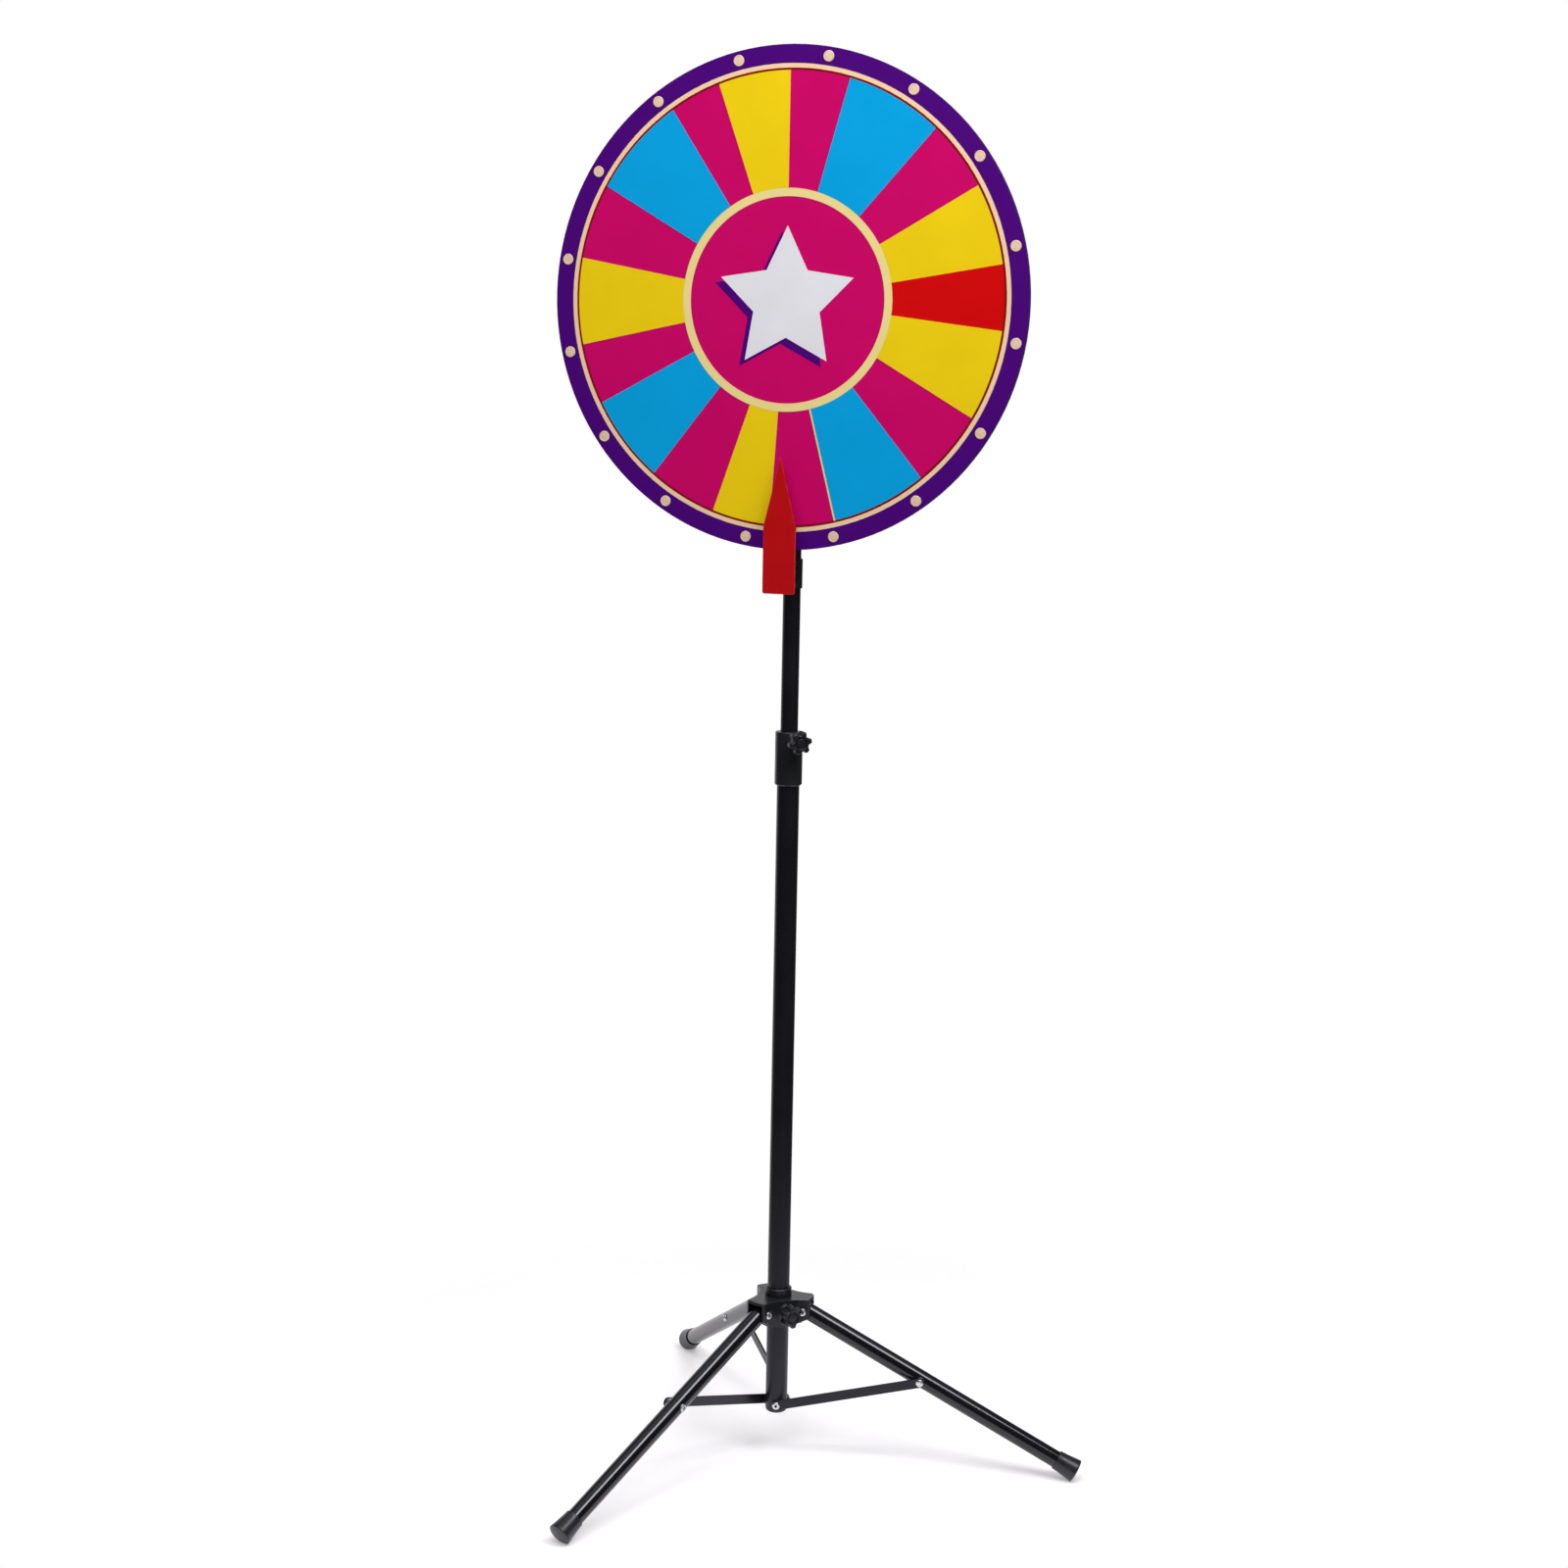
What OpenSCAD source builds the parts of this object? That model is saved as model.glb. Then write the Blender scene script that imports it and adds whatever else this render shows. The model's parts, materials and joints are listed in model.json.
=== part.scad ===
// Prize wheel on a folding tripod floor stand, in millimetres.
// +Z is up, the wheel faces -Y, and the origin is on the floor under the mast.

/* [Wheel] */
// Diameter of the wheel board
wheel_d = 610; // [440:5:700]
// Thickness of the wheel board
wheel_t = 6; // [5:0.5:12]
// Height of the axle above the floor
axle_z = 1497; // [1380:1:1600]

/* [Printed face] */
// Thickness of one layer of printed film
film_t = 0.3; // [0.1:0.1:0.5]
// Gap left between neighbouring pieces of film
film_gap = 0.15; // [0.05:0.05:0.3]
// Width of the purple band at the rim
rim_band_w = 22.5; // [16:0.5:35]
// Width of the cream ring inside the band
cream_w = 5.5; // [4:0.5:14]
// Width of the dark line inside the cream ring
line_w = 2; // [1:0.5:6]
// Outer diameter of the gold ring round the centre disc
gold_ring_d = 270; // [220:2:300]
// Width of the gold ring
gold_ring_w = 10; // [5:0.5:20]
// Distance from the centre to a point of the star
star_r = 90; // [60:1:100]
// Distance from the centre to a notch of the star
star_notch_r = 45; // [25:1:50]
// How far the star's shadow is set to the left and down
shadow_shift = 7; // [3:0.5:12]
// Number of round studs on the rim band
stud_count = 16; // [8:1:24]
// Diameter of one stud
stud_d = 13.5; // [8:0.5:15]
// Height of one stud
stud_h = 1.2; // [0.6:0.2:3]
// Slope of a stud's edge, as the amount its top is smaller all round
stud_edge = 0.7; // [0.2:0.1:2]
// Clockwise angle from the top of the wheel to the first stud
stud_turn = 9.4; // [0:0.1:22]

/* [Hub and bearings] */
// Diameter of the hub flange behind the board
flange_d = 100; // [80:1:160]
// Thickness of the hub flange
flange_t = 4; // [3:0.5:8]
// Wall of the hub barrel outside the bearings
barrel_wall = 4.5; // [3:0.5:8]
// Length of barrel behind the retaining ring
barrel_lip = 1.3; // [0.8:0.1:2]
// Number of ribs between the barrel and the flange
rib_count = 6; // [3:1:8]
// Thickness of one rib
rib_t = 3; // [2:0.5:5]
// How far a rib reaches out from the barrel
rib_reach = 17; // [8:1:20]
// How far a rib runs back along the barrel
rib_run = 11; // [6:0.5:13]
// How far a rib is sunk into the barrel's wall
rib_root = 1.5; // [0.5:0.5:2.5]
// Diameter of the circle that the hub screws lie on
hub_screw_circle = 82; // [72:1:90]
// Number of hub screws
hub_screw_count = 6; // [3:1:8]
// How far a hub screw goes into the board
hub_screw_bite = 3.5; // [2:0.5:4]
// Bore of a ball bearing
bearing_bore = 10; // [8:1:12]
// Outer diameter of a ball bearing
bearing_od = 26; // [24:1:32]
// Width of a ball bearing
bearing_w = 8; // [7:1:10]
// Diameter of a bearing ball
ball_d = 4.76; // [4:0.02:5.2]
// Number of balls in a bearing
ball_count = 7; // [5:1:7]
// Thin shim left between the two bearings
bearing_shim = 0.3; // [0.2:0.1:2]
// Thickness of each bearing race, measured at its shoulder
race_t = 2.3; // [2:0.1:2.6]
// Width of the hub's shoulder in front of the bearings
bearing_shoulder = 1.7; // [1:0.1:2]
// Thickness of a bearing shield
shield_t = 0.5; // [0.3:0.1:0.8]
// Thickness of the retaining ring behind the bearings
circlip_t = 1.2; // [0.8:0.1:2]
// Depth of the groove that holds the retaining ring
circlip_groove = 0.8; // [0.4:0.1:1.5]
// Radial width of the retaining ring
circlip_w = 2.3; // [2:0.1:3.5]
// Length of the spacer between the mast and the bearings
spacer_t = 4.4; // [3.5:0.1:8]
// Height of the axle bolt's head
bolt_head_t = 4; // [3:0.5:6]
// Width across the flats of the axle bolt's head
bolt_head_flats = 15; // [13:0.5:16]
// Room between the bolt head and the board
bolt_head_gap = 0.5; // [0.3:0.1:2]
// Diameter of the curved washer behind the mast
back_washer_d = 19; // [16:0.5:21]
// Thickness of the washer at the back of the mast
back_washer_t = 3.4; // [2:0.1:6]
// Width across the flats of the axle nut
axle_nut_flats = 17; // [16:0.5:19]
// Height of the axle nut's hexagon
axle_nut_h = 8; // [6:0.5:10]
// Height of the axle nut's domed cap
axle_nut_dome = 5; // [3:0.5:7]

/* [Pointer] */
// Width of the pointer blade
pointer_w = 42; // [30:1:60]
// Thickness of the pointer blade
pointer_t = 3; // [2.5:0.5:5]
// How far the tip reaches in from the wheel's rim
pointer_reach = 115; // [60:1:150]
// How far the blade hangs below the wheel's rim
pointer_tail = 54; // [50:1:80]
// Length of the tapered point
pointer_taper = 86; // [40:1:110]
// Radius of the blade's lower corners
pointer_corner = 3; // [1:0.5:8]
// Gap between the studs and the back of the blade
pointer_gap = 7.5; // [4:0.5:15]
// Height of the pointer bracket
bracket_h = 37; // [30:1:45]
// Gap between the wheel's rim and the top of the bracket
bracket_drop = 13; // [6:0.5:16]
// Wall of the bracket's sleeve
bracket_wall = 2; // [1.5:0.1:4]
// Height of sleeve left free above and below the bracket's arm
bracket_rim = 6; // [4:0.5:8]
// Width of the bracket's arm
bracket_arm_w = 18; // [12:1:22]
// Thickness of the arm's web and flanges
bracket_web = 4; // [3:0.5:6]
// Width of the plate that carries the blade
bracket_plate_w = 34; // [28:1:40]
// Thickness of the plate that carries the blade
bracket_plate_t = 3; // [2:0.5:5]
// Distance between the two blade screws
blade_screw_gap = 24; // [22:1:26]
// How far a blade screw goes into the blade
blade_screw_bite = 1.8; // [1:0.1:2]
// How far the boss for the locking screw stands out behind the sleeve
lock_boss_out = 5; // [3:0.5:10]
// Diameter of the boss for the locking screw
lock_boss_d = 13; // [11:0.5:18]

/* [Mast] */
// Outer diameter of the upper tube
mast_d = 22.2; // [20:0.1:24]
// Wall of the upper tube
mast_wall = 1.2; // [1:0.1:2]
// Length of upper tube above the axle
mast_over_axle = 25; // [18:1:60]
// Length of upper tube inside the main tube
mast_insert = 213; // [150:1:300]
// Outer diameter of the main tube
main_d = 28.6; // [27.5:0.1:32]
// Wall of the main tube
main_wall = 1.5; // [1:0.1:1.6]
// Height of the main tube's top end above the floor
main_top = 943; // [800:1:1000]
// Thickness of the tube plugs' flanges
plug_flange = 3; // [2:0.5:6]
// Width of the slope round the top plug's flange
plug_slope = 3.3; // [1:0.1:6]
// Length of the tube plugs inside the tube
plug_len = 25; // [12:1:40]
// Length of the slide bush
bush_len = 20; // [12:1:40]
// Length of the ring that holds the slide bush on the tube
stop_ring_len = 4; // [2:0.5:8]

/* [Height collar] */
// Diameter of the collar
collar_d = 35; // [34:0.5:42]
// Height of the collar
collar_h = 69; // [55:1:90]
// How far the collar stands above the main tube's top end
collar_over = 17; // [16:0.5:22]
// Height of the bevel at the foot of the collar
collar_bevel = 2; // [1:0.5:8]
// Width of the bevel at the foot of the collar
collar_bevel_w = 2; // [1:0.1:2.4]
// Width of the small bevel round the collar's top edge
collar_edge = 0.8; // [0.5:0.1:2.5]
// Distance from the collar's top down to the knob's axis
collar_knob_down = 10.2; // [9.4:0.1:11]
// How far the knob's boss stands out from the mast axis
collar_boss_out = 21; // [20:0.5:26]

/* [Spider] */
// Height of the leg pivots above the floor
spider_z = 199; // [150:1:240]
// Wall between the main tube and the leg slots
sleeve_wall = 7; // [4:0.1:9]
// Thickness of the roof over each leg
spider_roof = 3; // [2.5:0.5:7]
// Thickness of each cheek beside a leg
cheek_t = 3; // [2:0.5:6]
// Length of an arm beyond the leg pivot
arm_over = 12; // [8:0.5:18]
// Radius of the hollow sides between the arms
flank_r = 60; // [45:1:120]
// How far the spider's underside lies below the leg pivots
spider_drop = 22; // [16:0.5:26]
// How much the underside rises towards the arms' ends
spider_rise = 14; // [4:0.5:15]
// Width of the bevel round the spider's top edge
spider_edge = 2; // [1:0.5:2.5]
// Outer diameter of the neck round the main tube
neck_d = 34.6; // [33:0.1:40]
// Height of the neck above the arms
neck_h = 11; // [8:0.5:20]
// Width of the small bevel on the neck
neck_edge = 1.2; // [0.5:0.1:2]
// Height of the lip above the neck's groove
neck_lip = 3; // [2.5:0.5:5]
// Width of the groove round the neck
neck_groove_w = 1.4; // [0.6:0.1:2.5]
// Depth of the groove round the neck
neck_groove = 0.9; // [0.3:0.1:1.5]
// How far the clamp knob's axis lies above the leg pivots
spider_knob_rise = 1.5; // [-6:0.5:3]
// How far the clamp knob's boss stands out from the mast axis
spider_boss_out = 31; // [29:0.5:38]

/* [Legs] */
// Angle from the wheel's right-hand side to the first leg
leg_turn = 7.4; // [0:0.1:60]
// Angle of an opened leg from the vertical
leg_angle = 62.6; // [50:0.1:66]
// Outer diameter of a leg tube
leg_d = 22.2; // [20:0.1:25]
// Wall of a leg tube
leg_wall = 1.2; // [1:0.1:2]
// Length of leg above its pivot
leg_stub = 7; // [6:0.5:14]
// Length of a rubber foot
foot_len = 29; // [20:1:40]
// Diameter of a foot at its upper end
foot_top_d = 25.4; // [24:0.1:28]
// Diameter of a foot at its lower end
foot_end_d = 30.6; // [28:0.1:36]
// Thickness of rubber under the end of the tube
foot_bottom = 6; // [4:0.5:10]
// Width of the bevelled lip at a foot's upper end
foot_lip = 1; // [0.5:0.1:2]
// Length of the straight part at a foot's upper end
foot_straight = 3; // [2:0.5:8]
// Depth of the flat where a foot bears on the floor
sole_cut = 2; // [1:0.1:3]

/* [Braces and base] */
// Distance along a leg from its pivot to the brace rivet
brace_at = 176.8; // [140:0.1:220]
// Width of a brace bar
brace_w = 12.5; // [10:0.5:16]
// Thickness of a brace bar
brace_t = 2.5; // [1.5:0.1:4]
// Distance of a brace's lower pivot from the plane through the mast axis
base_pivot_r = 3; // [0:0.5:5]
// Height of the braces' lower pivots above the floor
base_pivot_z = 69; // [60:1:85]
// Height of the base cup below the main tube
base_h = 20; // [20:0.5:26]
// Distance from the cup's bottom up to the pivots
base_pivot_up = 12.5; // [9:0.5:12.5]
// Length of the cup's spigot inside the main tube
base_spigot = 22; // [10:1:40]
// Radius of the rounded edge of the cup's bottom
base_edge = 5; // [2:0.5:8]
// How far the pads under the braces stand out from the cup
base_pad_out = 0.15; // [0.1:0.05:1]
// Diameter of the pads under the braces
base_pad_d = 14; // [12:0.5:14.5]
// How far a base rivet goes into the cup
base_pin_depth = 8.5; // [6:0.5:9]

/* [Knobs] */
// Angle from the middle between two legs to the knobs
knob_aside = 3.5; // [-10:0.5:10]
// Diameter of a star knob over its lobes
knob_d = 30.5; // [26:0.5:40]
// Number of lobes on a star knob
knob_lobes = 6; // [5:1:8]
// Angle of the height knob's first lobe from straight down
height_lobe_turn = 42; // [0:1:60]
// Angle of the clamp knob's first lobe from straight down
clamp_lobe_turn = 6; // [0:1:60]
// Radius of one lobe's rounded end
lobe_r = 3.8; // [3:0.1:5]
// Radius of the hollow between two lobes
lobe_gap_r = 4.4; // [3:0.1:4.6]
// How far outside the knob's rim the hollows are centred
lobe_gap_out = 0.2; // [0:0.1:1]
// Thickness of a knob's head
knob_t = 14; // [10:0.5:20]
// Length of a knob's stem
knob_stem = 7; // [4:0.5:12]
// Diameter of a knob's stem
knob_stem_d = 14; // [12:0.5:18]
// Height of the crowned part of a knob's head
knob_crown = 4; // [2:0.5:6]
// Diameter of the shallow dish in a knob's head
knob_dish_d = 13; // [8:0.5:16]
// Depth of the dish in a knob's head
knob_dish = 1; // [0.4:0.1:2]
// How far the screw goes into a knob's head
knob_grip = 8; // [6:0.5:9]
// Diameter of a knob's clamping screw
knob_screw_d = 8; // [6:0.5:8]
// Diameter of the brass insert that a knob's screw turns in
insert_d = 12; // [11:0.5:13]
// Length of the insert in the collar
collar_insert_len = 6; // [4:0.5:7]
// Length of the insert in the spider
spider_insert_len = 10; // [6:0.5:12]
// Outer diameter of the bosses that hold the inserts
boss_d = 18; // [16:0.5:18.5]

/* [Fasteners and fits] */
// Diameter of the leg pivot pins
leg_pin_d = 6; // [4:0.5:8]
// Diameter of the brace rivets
rivet_d = 5; // [4:0.5:6]
// Diameter of a rivet's head
rivet_head_d = 10; // [9:0.5:12]
// Height of a rivet's head
rivet_head_h = 2; // [1.2:0.1:3]
// Diameter of the hollow in a rivet's head
rivet_hollow_d = 4; // [3:0.5:5]
// Depth of the hollow in a rivet's head
rivet_hollow = 0.8; // [0.4:0.1:1]
// Diameter of the spacer between a leg and its brace
rivet_spacer_d = 11; // [9:0.5:13]
// Diameter of the hub screws
hub_screw_d = 4; // [3:0.5:5]
// Diameter of the blade screws
blade_screw_d = 3; // [2.5:0.5:4]
// Diameter of the bracket's locking screw
lock_screw_d = 6; // [5:0.5:8]
// Depth of the hexagon socket in the locking screw
lock_socket = 2; // [1:0.5:4]
// Diameter of a screw head, for each millimetre of its screw
screw_head_ratio = 2; // [1.6:0.1:2.2]
// Height of a screw head, for each millimetre of its screw
screw_head_h_ratio = 0.6; // [0.4:0.05:0.8]
// Radial clearance of a turning or sliding fit
run_fit = 0.05; // [0.02:0.01:0.1]
// Radial clearance of the spider on the main tube
slide_fit = 0.08; // [0.03:0.01:0.1]
// Radial clearance between pieces that don't move on each other
seat_fit = 0.03; // [0.02:0.01:0.05]
// Clearance between flat faces that turn past each other
face_gap = 0.2; // [0.1:0.05:0.4]
// Clearance of the open pivot between a leg and its brace
open_gap = 0.3; // [0.2:0.05:0.5]
// Clearance round the swinging end of a leg
swing_gap = 0.5; // [0.3:0.1:1]

/* [Hidden] */
$fn = 96;
// Amount by which a cutting shape runs past the face it cuts
past = 1;
ALL_LEGS = [0, 1, 2];
LEG_STEP = 120;

// Outlines of rounded heads, as shares of the head's radius and height
RIVET_DOME = [[1, 0], [1, 0.35], [0.8, 0.85], [0.6, 1]];
SCREW_DOME = [[1, 0], [1, 0.4], [0.75, 1], [0, 1]];
NUT_DOME = [[0.92, 0], [0.8, 0.5], [0.45, 0.9], [0, 1]];
// Share of a rivet's hollow that its floor takes
HOLLOW_FLOOR = 0.8;

// Colours of the object
BLACK = "#18181a";
COAL = "#232326";
RUBBER = "#3c3c42";
ZINC = "#c9ccd0";
BRASS = "#b9974a";
STEEL = "#a9adb3";
MAGENTA = "#c80c64";
YELLOW = "#ebd21e";
BLUE = "#00a0e6";
RED = "#cd0c0c";
PURPLE = "#4b0a82";
CREAM = "#ebd096";
DARK_LINE = "#781018";
WHITE = "#f6f4f0";
BOARD = "#2b2b2e";

// Segments clockwise from the top of the wheel: colour and width in degrees
SEGMENTS = [
  ["magenta", 16], ["blue", 26], ["magenta", 18], ["yellow", 20.5], ["red", 16.5], ["yellow", 23],
  ["magenta", 20], ["blue", 25.5], ["magenta", 18], ["yellow", 16], ["magenta", 19], ["blue", 23.5],
  ["magenta", 16], ["yellow", 22.5], ["magenta", 19.5], ["blue", 26.5], ["magenta", 14], ["yellow", 19.5]];

// Tubes
mast_r = mast_d / 2;
main_r = main_d / 2;
main_bore_r = main_r - main_wall;
leg_r = leg_d / 2;
mast_low = main_top - mast_insert;
mast_high = axle_z + mast_over_axle;

// Stack of the hub, as distances in front of the mast axis
bearing_back = mast_r + spacer_t;
bearing_front = bearing_back + 2 * bearing_w + bearing_shim;
bolt_head_front = bearing_front + bolt_head_t;
board_back = bolt_head_front + bolt_head_gap;
board_front = board_back + wheel_t;
print_front = board_front + film_t;
blade_back = print_front + stud_h + pointer_gap;
axle_r = bearing_bore / 2 - seat_fit;
barrel_bore_r = bearing_od / 2 + seat_fit;
barrel_r = barrel_bore_r + barrel_wall;
barrel_end = bearing_back - circlip_t - barrel_lip;
ball_circle_r = (bearing_bore + bearing_od) / 4;
inner_race_r = bearing_bore / 2 + race_t;
outer_race_r = bearing_od / 2 - race_t;
pocket_r = bearing_od / 2 - bearing_shoulder;
nut_front = -mast_r - back_washer_t;
nut_back = nut_front - axle_nut_h;

// Rings of the printed face
wheel_r = wheel_d / 2;
cream_r = wheel_r - rim_band_w;
line_r = cream_r - cream_w;
segment_r = line_r - line_w;
gold_r = gold_ring_d / 2;
centre_r = gold_r - gold_ring_w;
stud_circle_r = wheel_r - rim_band_w / 2;

// Pointer and its bracket
rim_low = axle_z - wheel_r;
pointer_low = rim_low - pointer_tail;
pointer_len = pointer_tail + pointer_reach;
bracket_low = rim_low - bracket_drop - bracket_h;
bracket_mid = bracket_low + bracket_h / 2;
bracket_r = mast_r + bracket_wall;
plate_back = blade_back - bracket_plate_t;

// Height collar
collar_top = main_top + collar_over;
collar_low = collar_top - collar_h;
collar_knob_z = collar_top - collar_knob_down;
knob_turn = leg_turn - LEG_STEP / 2 + knob_aside;

// Spider
spider_bore_r = main_r + slide_fit;
leg_sweep = sqrt(pow(leg_stub, 2) + pow(leg_r, 2));
slot_in = spider_bore_r + sleeve_wall;
pivot_r = slot_in + swing_gap + leg_sweep;
slot_w = leg_d + 2 * swing_gap;
arm_w = slot_w + 2 * cheek_t;
arm_end = pivot_r + arm_over;
spider_low = spider_z - spider_drop;
roof_low = spider_z + leg_sweep + swing_gap;
spider_top = roof_low + spider_roof;
neck_r = neck_d / 2;
neck_top = spider_top + neck_h;
groove_high = neck_top - neck_lip;
groove_low = groove_high - neck_groove_w;
flank_at = (arm_w / 2 + flank_r) / sin(LEG_STEP / 2);
spider_knob_z = spider_z + spider_knob_rise;

// Legs and feet, measured along a leg from its pivot
foot_end_r = foot_end_d / 2;
leg_end = (spider_z - foot_end_r * sin(leg_angle) + sole_cut) / cos(leg_angle);
foot_at = leg_end - foot_len;
leg_tube_end = leg_end - foot_bottom;

// Base cup and braces
base_low = base_pivot_z - base_pivot_up;
main_low = base_low + base_h;
base_pad_r = main_r + base_pad_out;
brace_in = base_pad_r + face_gap;
brace_out = brace_in + brace_t;
brace_dx = pivot_r + brace_at * sin(leg_angle) - base_pivot_r;
brace_dz = spider_z - brace_at * cos(leg_angle) - base_pivot_z;
brace_len = sqrt(pow(brace_dx, 2) + pow(brace_dz, 2));
brace_angle = atan2(brace_dx, brace_dz);

// Knobs
knob_r = knob_d / 2;
knob_screw_r = knob_screw_d / 2;
insert_bore_r = knob_screw_r + run_fit;

// Places its children on the axle: X to the right, Y up, and Z forward out of the wheel's face.
module on_axle() {
  translate([0, 0, axle_z]) rotate([90, 0, 0]) children();
}

// Places its children beside one leg: X points out along the leg, Y to its left, Z up.
module beside_leg(k) {
  rotate([0, 0, leg_turn + LEG_STEP * k]) children();
}

// Places its children on one leg: Z runs down the leg from its pivot.
module along_leg(k) {
  beside_leg(k) translate([pivot_r, 0, spider_z]) rotate([0, 180 - leg_angle, 0]) children();
}

// Places its children on one brace: Z runs up the brace from its lower pivot.
module along_brace(k) {
  beside_leg(k) translate([base_pivot_r, 0, base_pivot_z]) rotate([0, brace_angle, 0]) children();
}

// Places its children on a brace's lower pivot: Z runs out of the cup through the brace.
module on_base_pivot(k) {
  beside_leg(k) translate([base_pivot_r, 0, base_pivot_z]) rotate([90, 0, 0]) children();
}

// Places its children on a knob's axis: Z points out from the mast axis.
module on_knob(z) {
  rotate([0, 0, knob_turn]) translate([0, 0, z]) rotate([0, 90, 0]) children();
}

// Ring between two radii and two heights.
module ring(outer, inner, low, high) {
  translate([0, 0, low]) difference() {
    cylinder(r = outer, h = high - low);
    translate([0, 0, -past]) cylinder(r = inner, h = high - low + 2 * past);
  }
}

// Straight tube with a wall, from one height to another.
module tube(outer, wall, low, high) {
  ring(outer, outer - wall, low, high);
}

// Domed rivet head on the plane Z = 0, with the hollow of a tubular rivet.
module rivet_head() {
  head_r = rivet_head_d / 2;
  hollow_r = rivet_hollow_d / 2;
  floor_z = rivet_head_h - rivet_hollow;
  rotate_extrude() polygon([
    [0, 0], for (share = RIVET_DOME) [head_r * share[0], rivet_head_h * share[1]],
    [hollow_r, rivet_head_h], [hollow_r * HOLLOW_FLOOR, floor_z], [0, floor_z]]);
}

// Screw along Z with a rounded head that sits on the plane Z = 0 and a shank that runs down from it.
module pan_screw(d, reach) {
  head_r = d * screw_head_ratio / 2;
  head_h = d * screw_head_h_ratio;
  shank_r = d / 2 - seat_fit;
  rotate_extrude() polygon([
    [0, -reach], [shank_r, -reach], [shank_r, 0],
    for (share = SCREW_DOME) [head_r * share[0], head_h * share[1]]]);
}

// Hexagon of a width across its flats, from one height to another.
module hexagon(flats, low, high) {
  translate([0, 0, low]) cylinder(d = flats / cos(30), h = high - low, $fn = 6);
}

// Stand: main tube, base cup and height collar

module main_tube() {
  color(BLACK) tube(main_r, main_wall, main_low, main_top);
}

module base_cup() {
  spigot_r = main_bore_r - seat_fit;
  color(COAL) difference() {
    union() {
      rotate_extrude() difference() {
        polygon([
          [0, base_low], [main_r, base_low], [main_r, main_low], [spigot_r, main_low],
          [spigot_r, main_low + base_spigot], [0, main_low + base_spigot]]);
        translate([main_r - base_edge, base_low]) difference() {
          translate([0, -past]) square(base_edge + past);
          translate([0, base_edge]) circle(r = base_edge);
        }
      }
      for (k = ALL_LEGS) on_base_pivot(k) cylinder(d = base_pad_d, h = base_pad_r);
    }
    for (k = ALL_LEGS) on_base_pivot(k) translate([0, 0, base_pad_r - base_pin_depth])
      cylinder(r = rivet_d / 2 + seat_fit, h = base_pin_depth + past);
  }
}

module base_rivets() {
  head_low = brace_out + face_gap;
  pin_low = base_pad_r - base_pin_depth;
  color(ZINC) for (k = ALL_LEGS) on_base_pivot(k) {
    translate([0, 0, pin_low]) cylinder(d = rivet_d, h = head_low - pin_low);
    translate([0, 0, head_low]) rivet_head();
  }
}

module height_collar() {
  collar_r = collar_d / 2;
  color(COAL) difference() {
    union() {
      rotate_extrude() polygon([
        [0, collar_low], [collar_r - collar_bevel_w, collar_low], [collar_r, collar_low + collar_bevel],
        [collar_r, collar_top - collar_edge], [collar_r - collar_edge, collar_top], [0, collar_top]]);
      on_knob(collar_knob_z) cylinder(d = boss_d, h = collar_boss_out);
    }
    translate([0, 0, collar_low - past]) cylinder(r = main_r + seat_fit, h = main_top - collar_low + past);
    translate([0, 0, main_top]) cylinder(r = mast_r + run_fit, h = collar_over + past);
    on_knob(collar_knob_z) {
      cylinder(r = knob_screw_r + face_gap, h = collar_boss_out);
      translate([0, 0, collar_boss_out - collar_insert_len])
        cylinder(d = insert_d + 2 * seat_fit, h = collar_insert_len + past);
    }
  }
}

module collar_insert() {
  color(BRASS) on_knob(collar_knob_z)
    ring(insert_d / 2, insert_bore_r, collar_boss_out - collar_insert_len, collar_boss_out);
}

// Spider that slides on the main tube and carries the legs

module leg_spider() {
  color(COAL) difference() {
    union() {
      intersection() {
        translate([0, 0, spider_low]) linear_extrude(neck_top - spider_low) difference() {
          circle(r = arm_end);
          for (k = ALL_LEGS) rotate(leg_turn + LEG_STEP * (k + 0.5))
            translate([flank_at, 0]) circle(r = flank_r);
        }
        rotate_extrude() polygon([
          [0, spider_low], [slot_in, spider_low], [arm_end, spider_low + spider_rise],
          [arm_end, spider_top - spider_edge], [arm_end - spider_edge, spider_top], [neck_r, spider_top],
          [neck_r, groove_low], [neck_r - neck_groove, groove_low], [neck_r - neck_groove, groove_high],
          [neck_r, groove_high], [neck_r, neck_top - neck_edge], [neck_r - neck_edge, neck_top],
          [0, neck_top]]);
      }
      on_knob(spider_knob_z) cylinder(d = boss_d, h = spider_boss_out);
    }
    translate([0, 0, spider_low - past]) cylinder(r = spider_bore_r, h = neck_top - spider_low + 2 * past);
    for (k = ALL_LEGS) beside_leg(k) {
      translate([slot_in, -slot_w / 2, spider_low - past])
        cube([arm_end - slot_in + past, slot_w, roof_low - spider_low + past]);
      translate([pivot_r, 0, spider_z]) rotate([90, 0, 0]) {
        cylinder(r = leg_pin_d / 2 + seat_fit, h = 2 * arm_w, center = true);
        for (side = [0, 1]) mirror([0, 0, side]) translate([0, 0, arm_w / 2])
          cylinder(d = rivet_head_d + 2 * swing_gap, h = arm_w);
      }
    }
    on_knob(spider_knob_z) {
      cylinder(r = knob_screw_r + face_gap, h = spider_boss_out);
      translate([0, 0, spider_boss_out - spider_insert_len])
        cylinder(d = insert_d + 2 * seat_fit, h = spider_insert_len + past);
    }
  }
}

module leg_pins() {
  color(ZINC) for (k = ALL_LEGS) beside_leg(k) translate([pivot_r, 0, spider_z]) rotate([90, 0, 0]) {
    cylinder(d = leg_pin_d, h = arm_w, center = true);
    for (side = [0, 1]) mirror([0, 0, side]) translate([0, 0, arm_w / 2]) rivet_head();
  }
}

module spider_insert() {
  color(BRASS) on_knob(spider_knob_z)
    ring(insert_d / 2, insert_bore_r, spider_boss_out - spider_insert_len, spider_boss_out);
}

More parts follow.
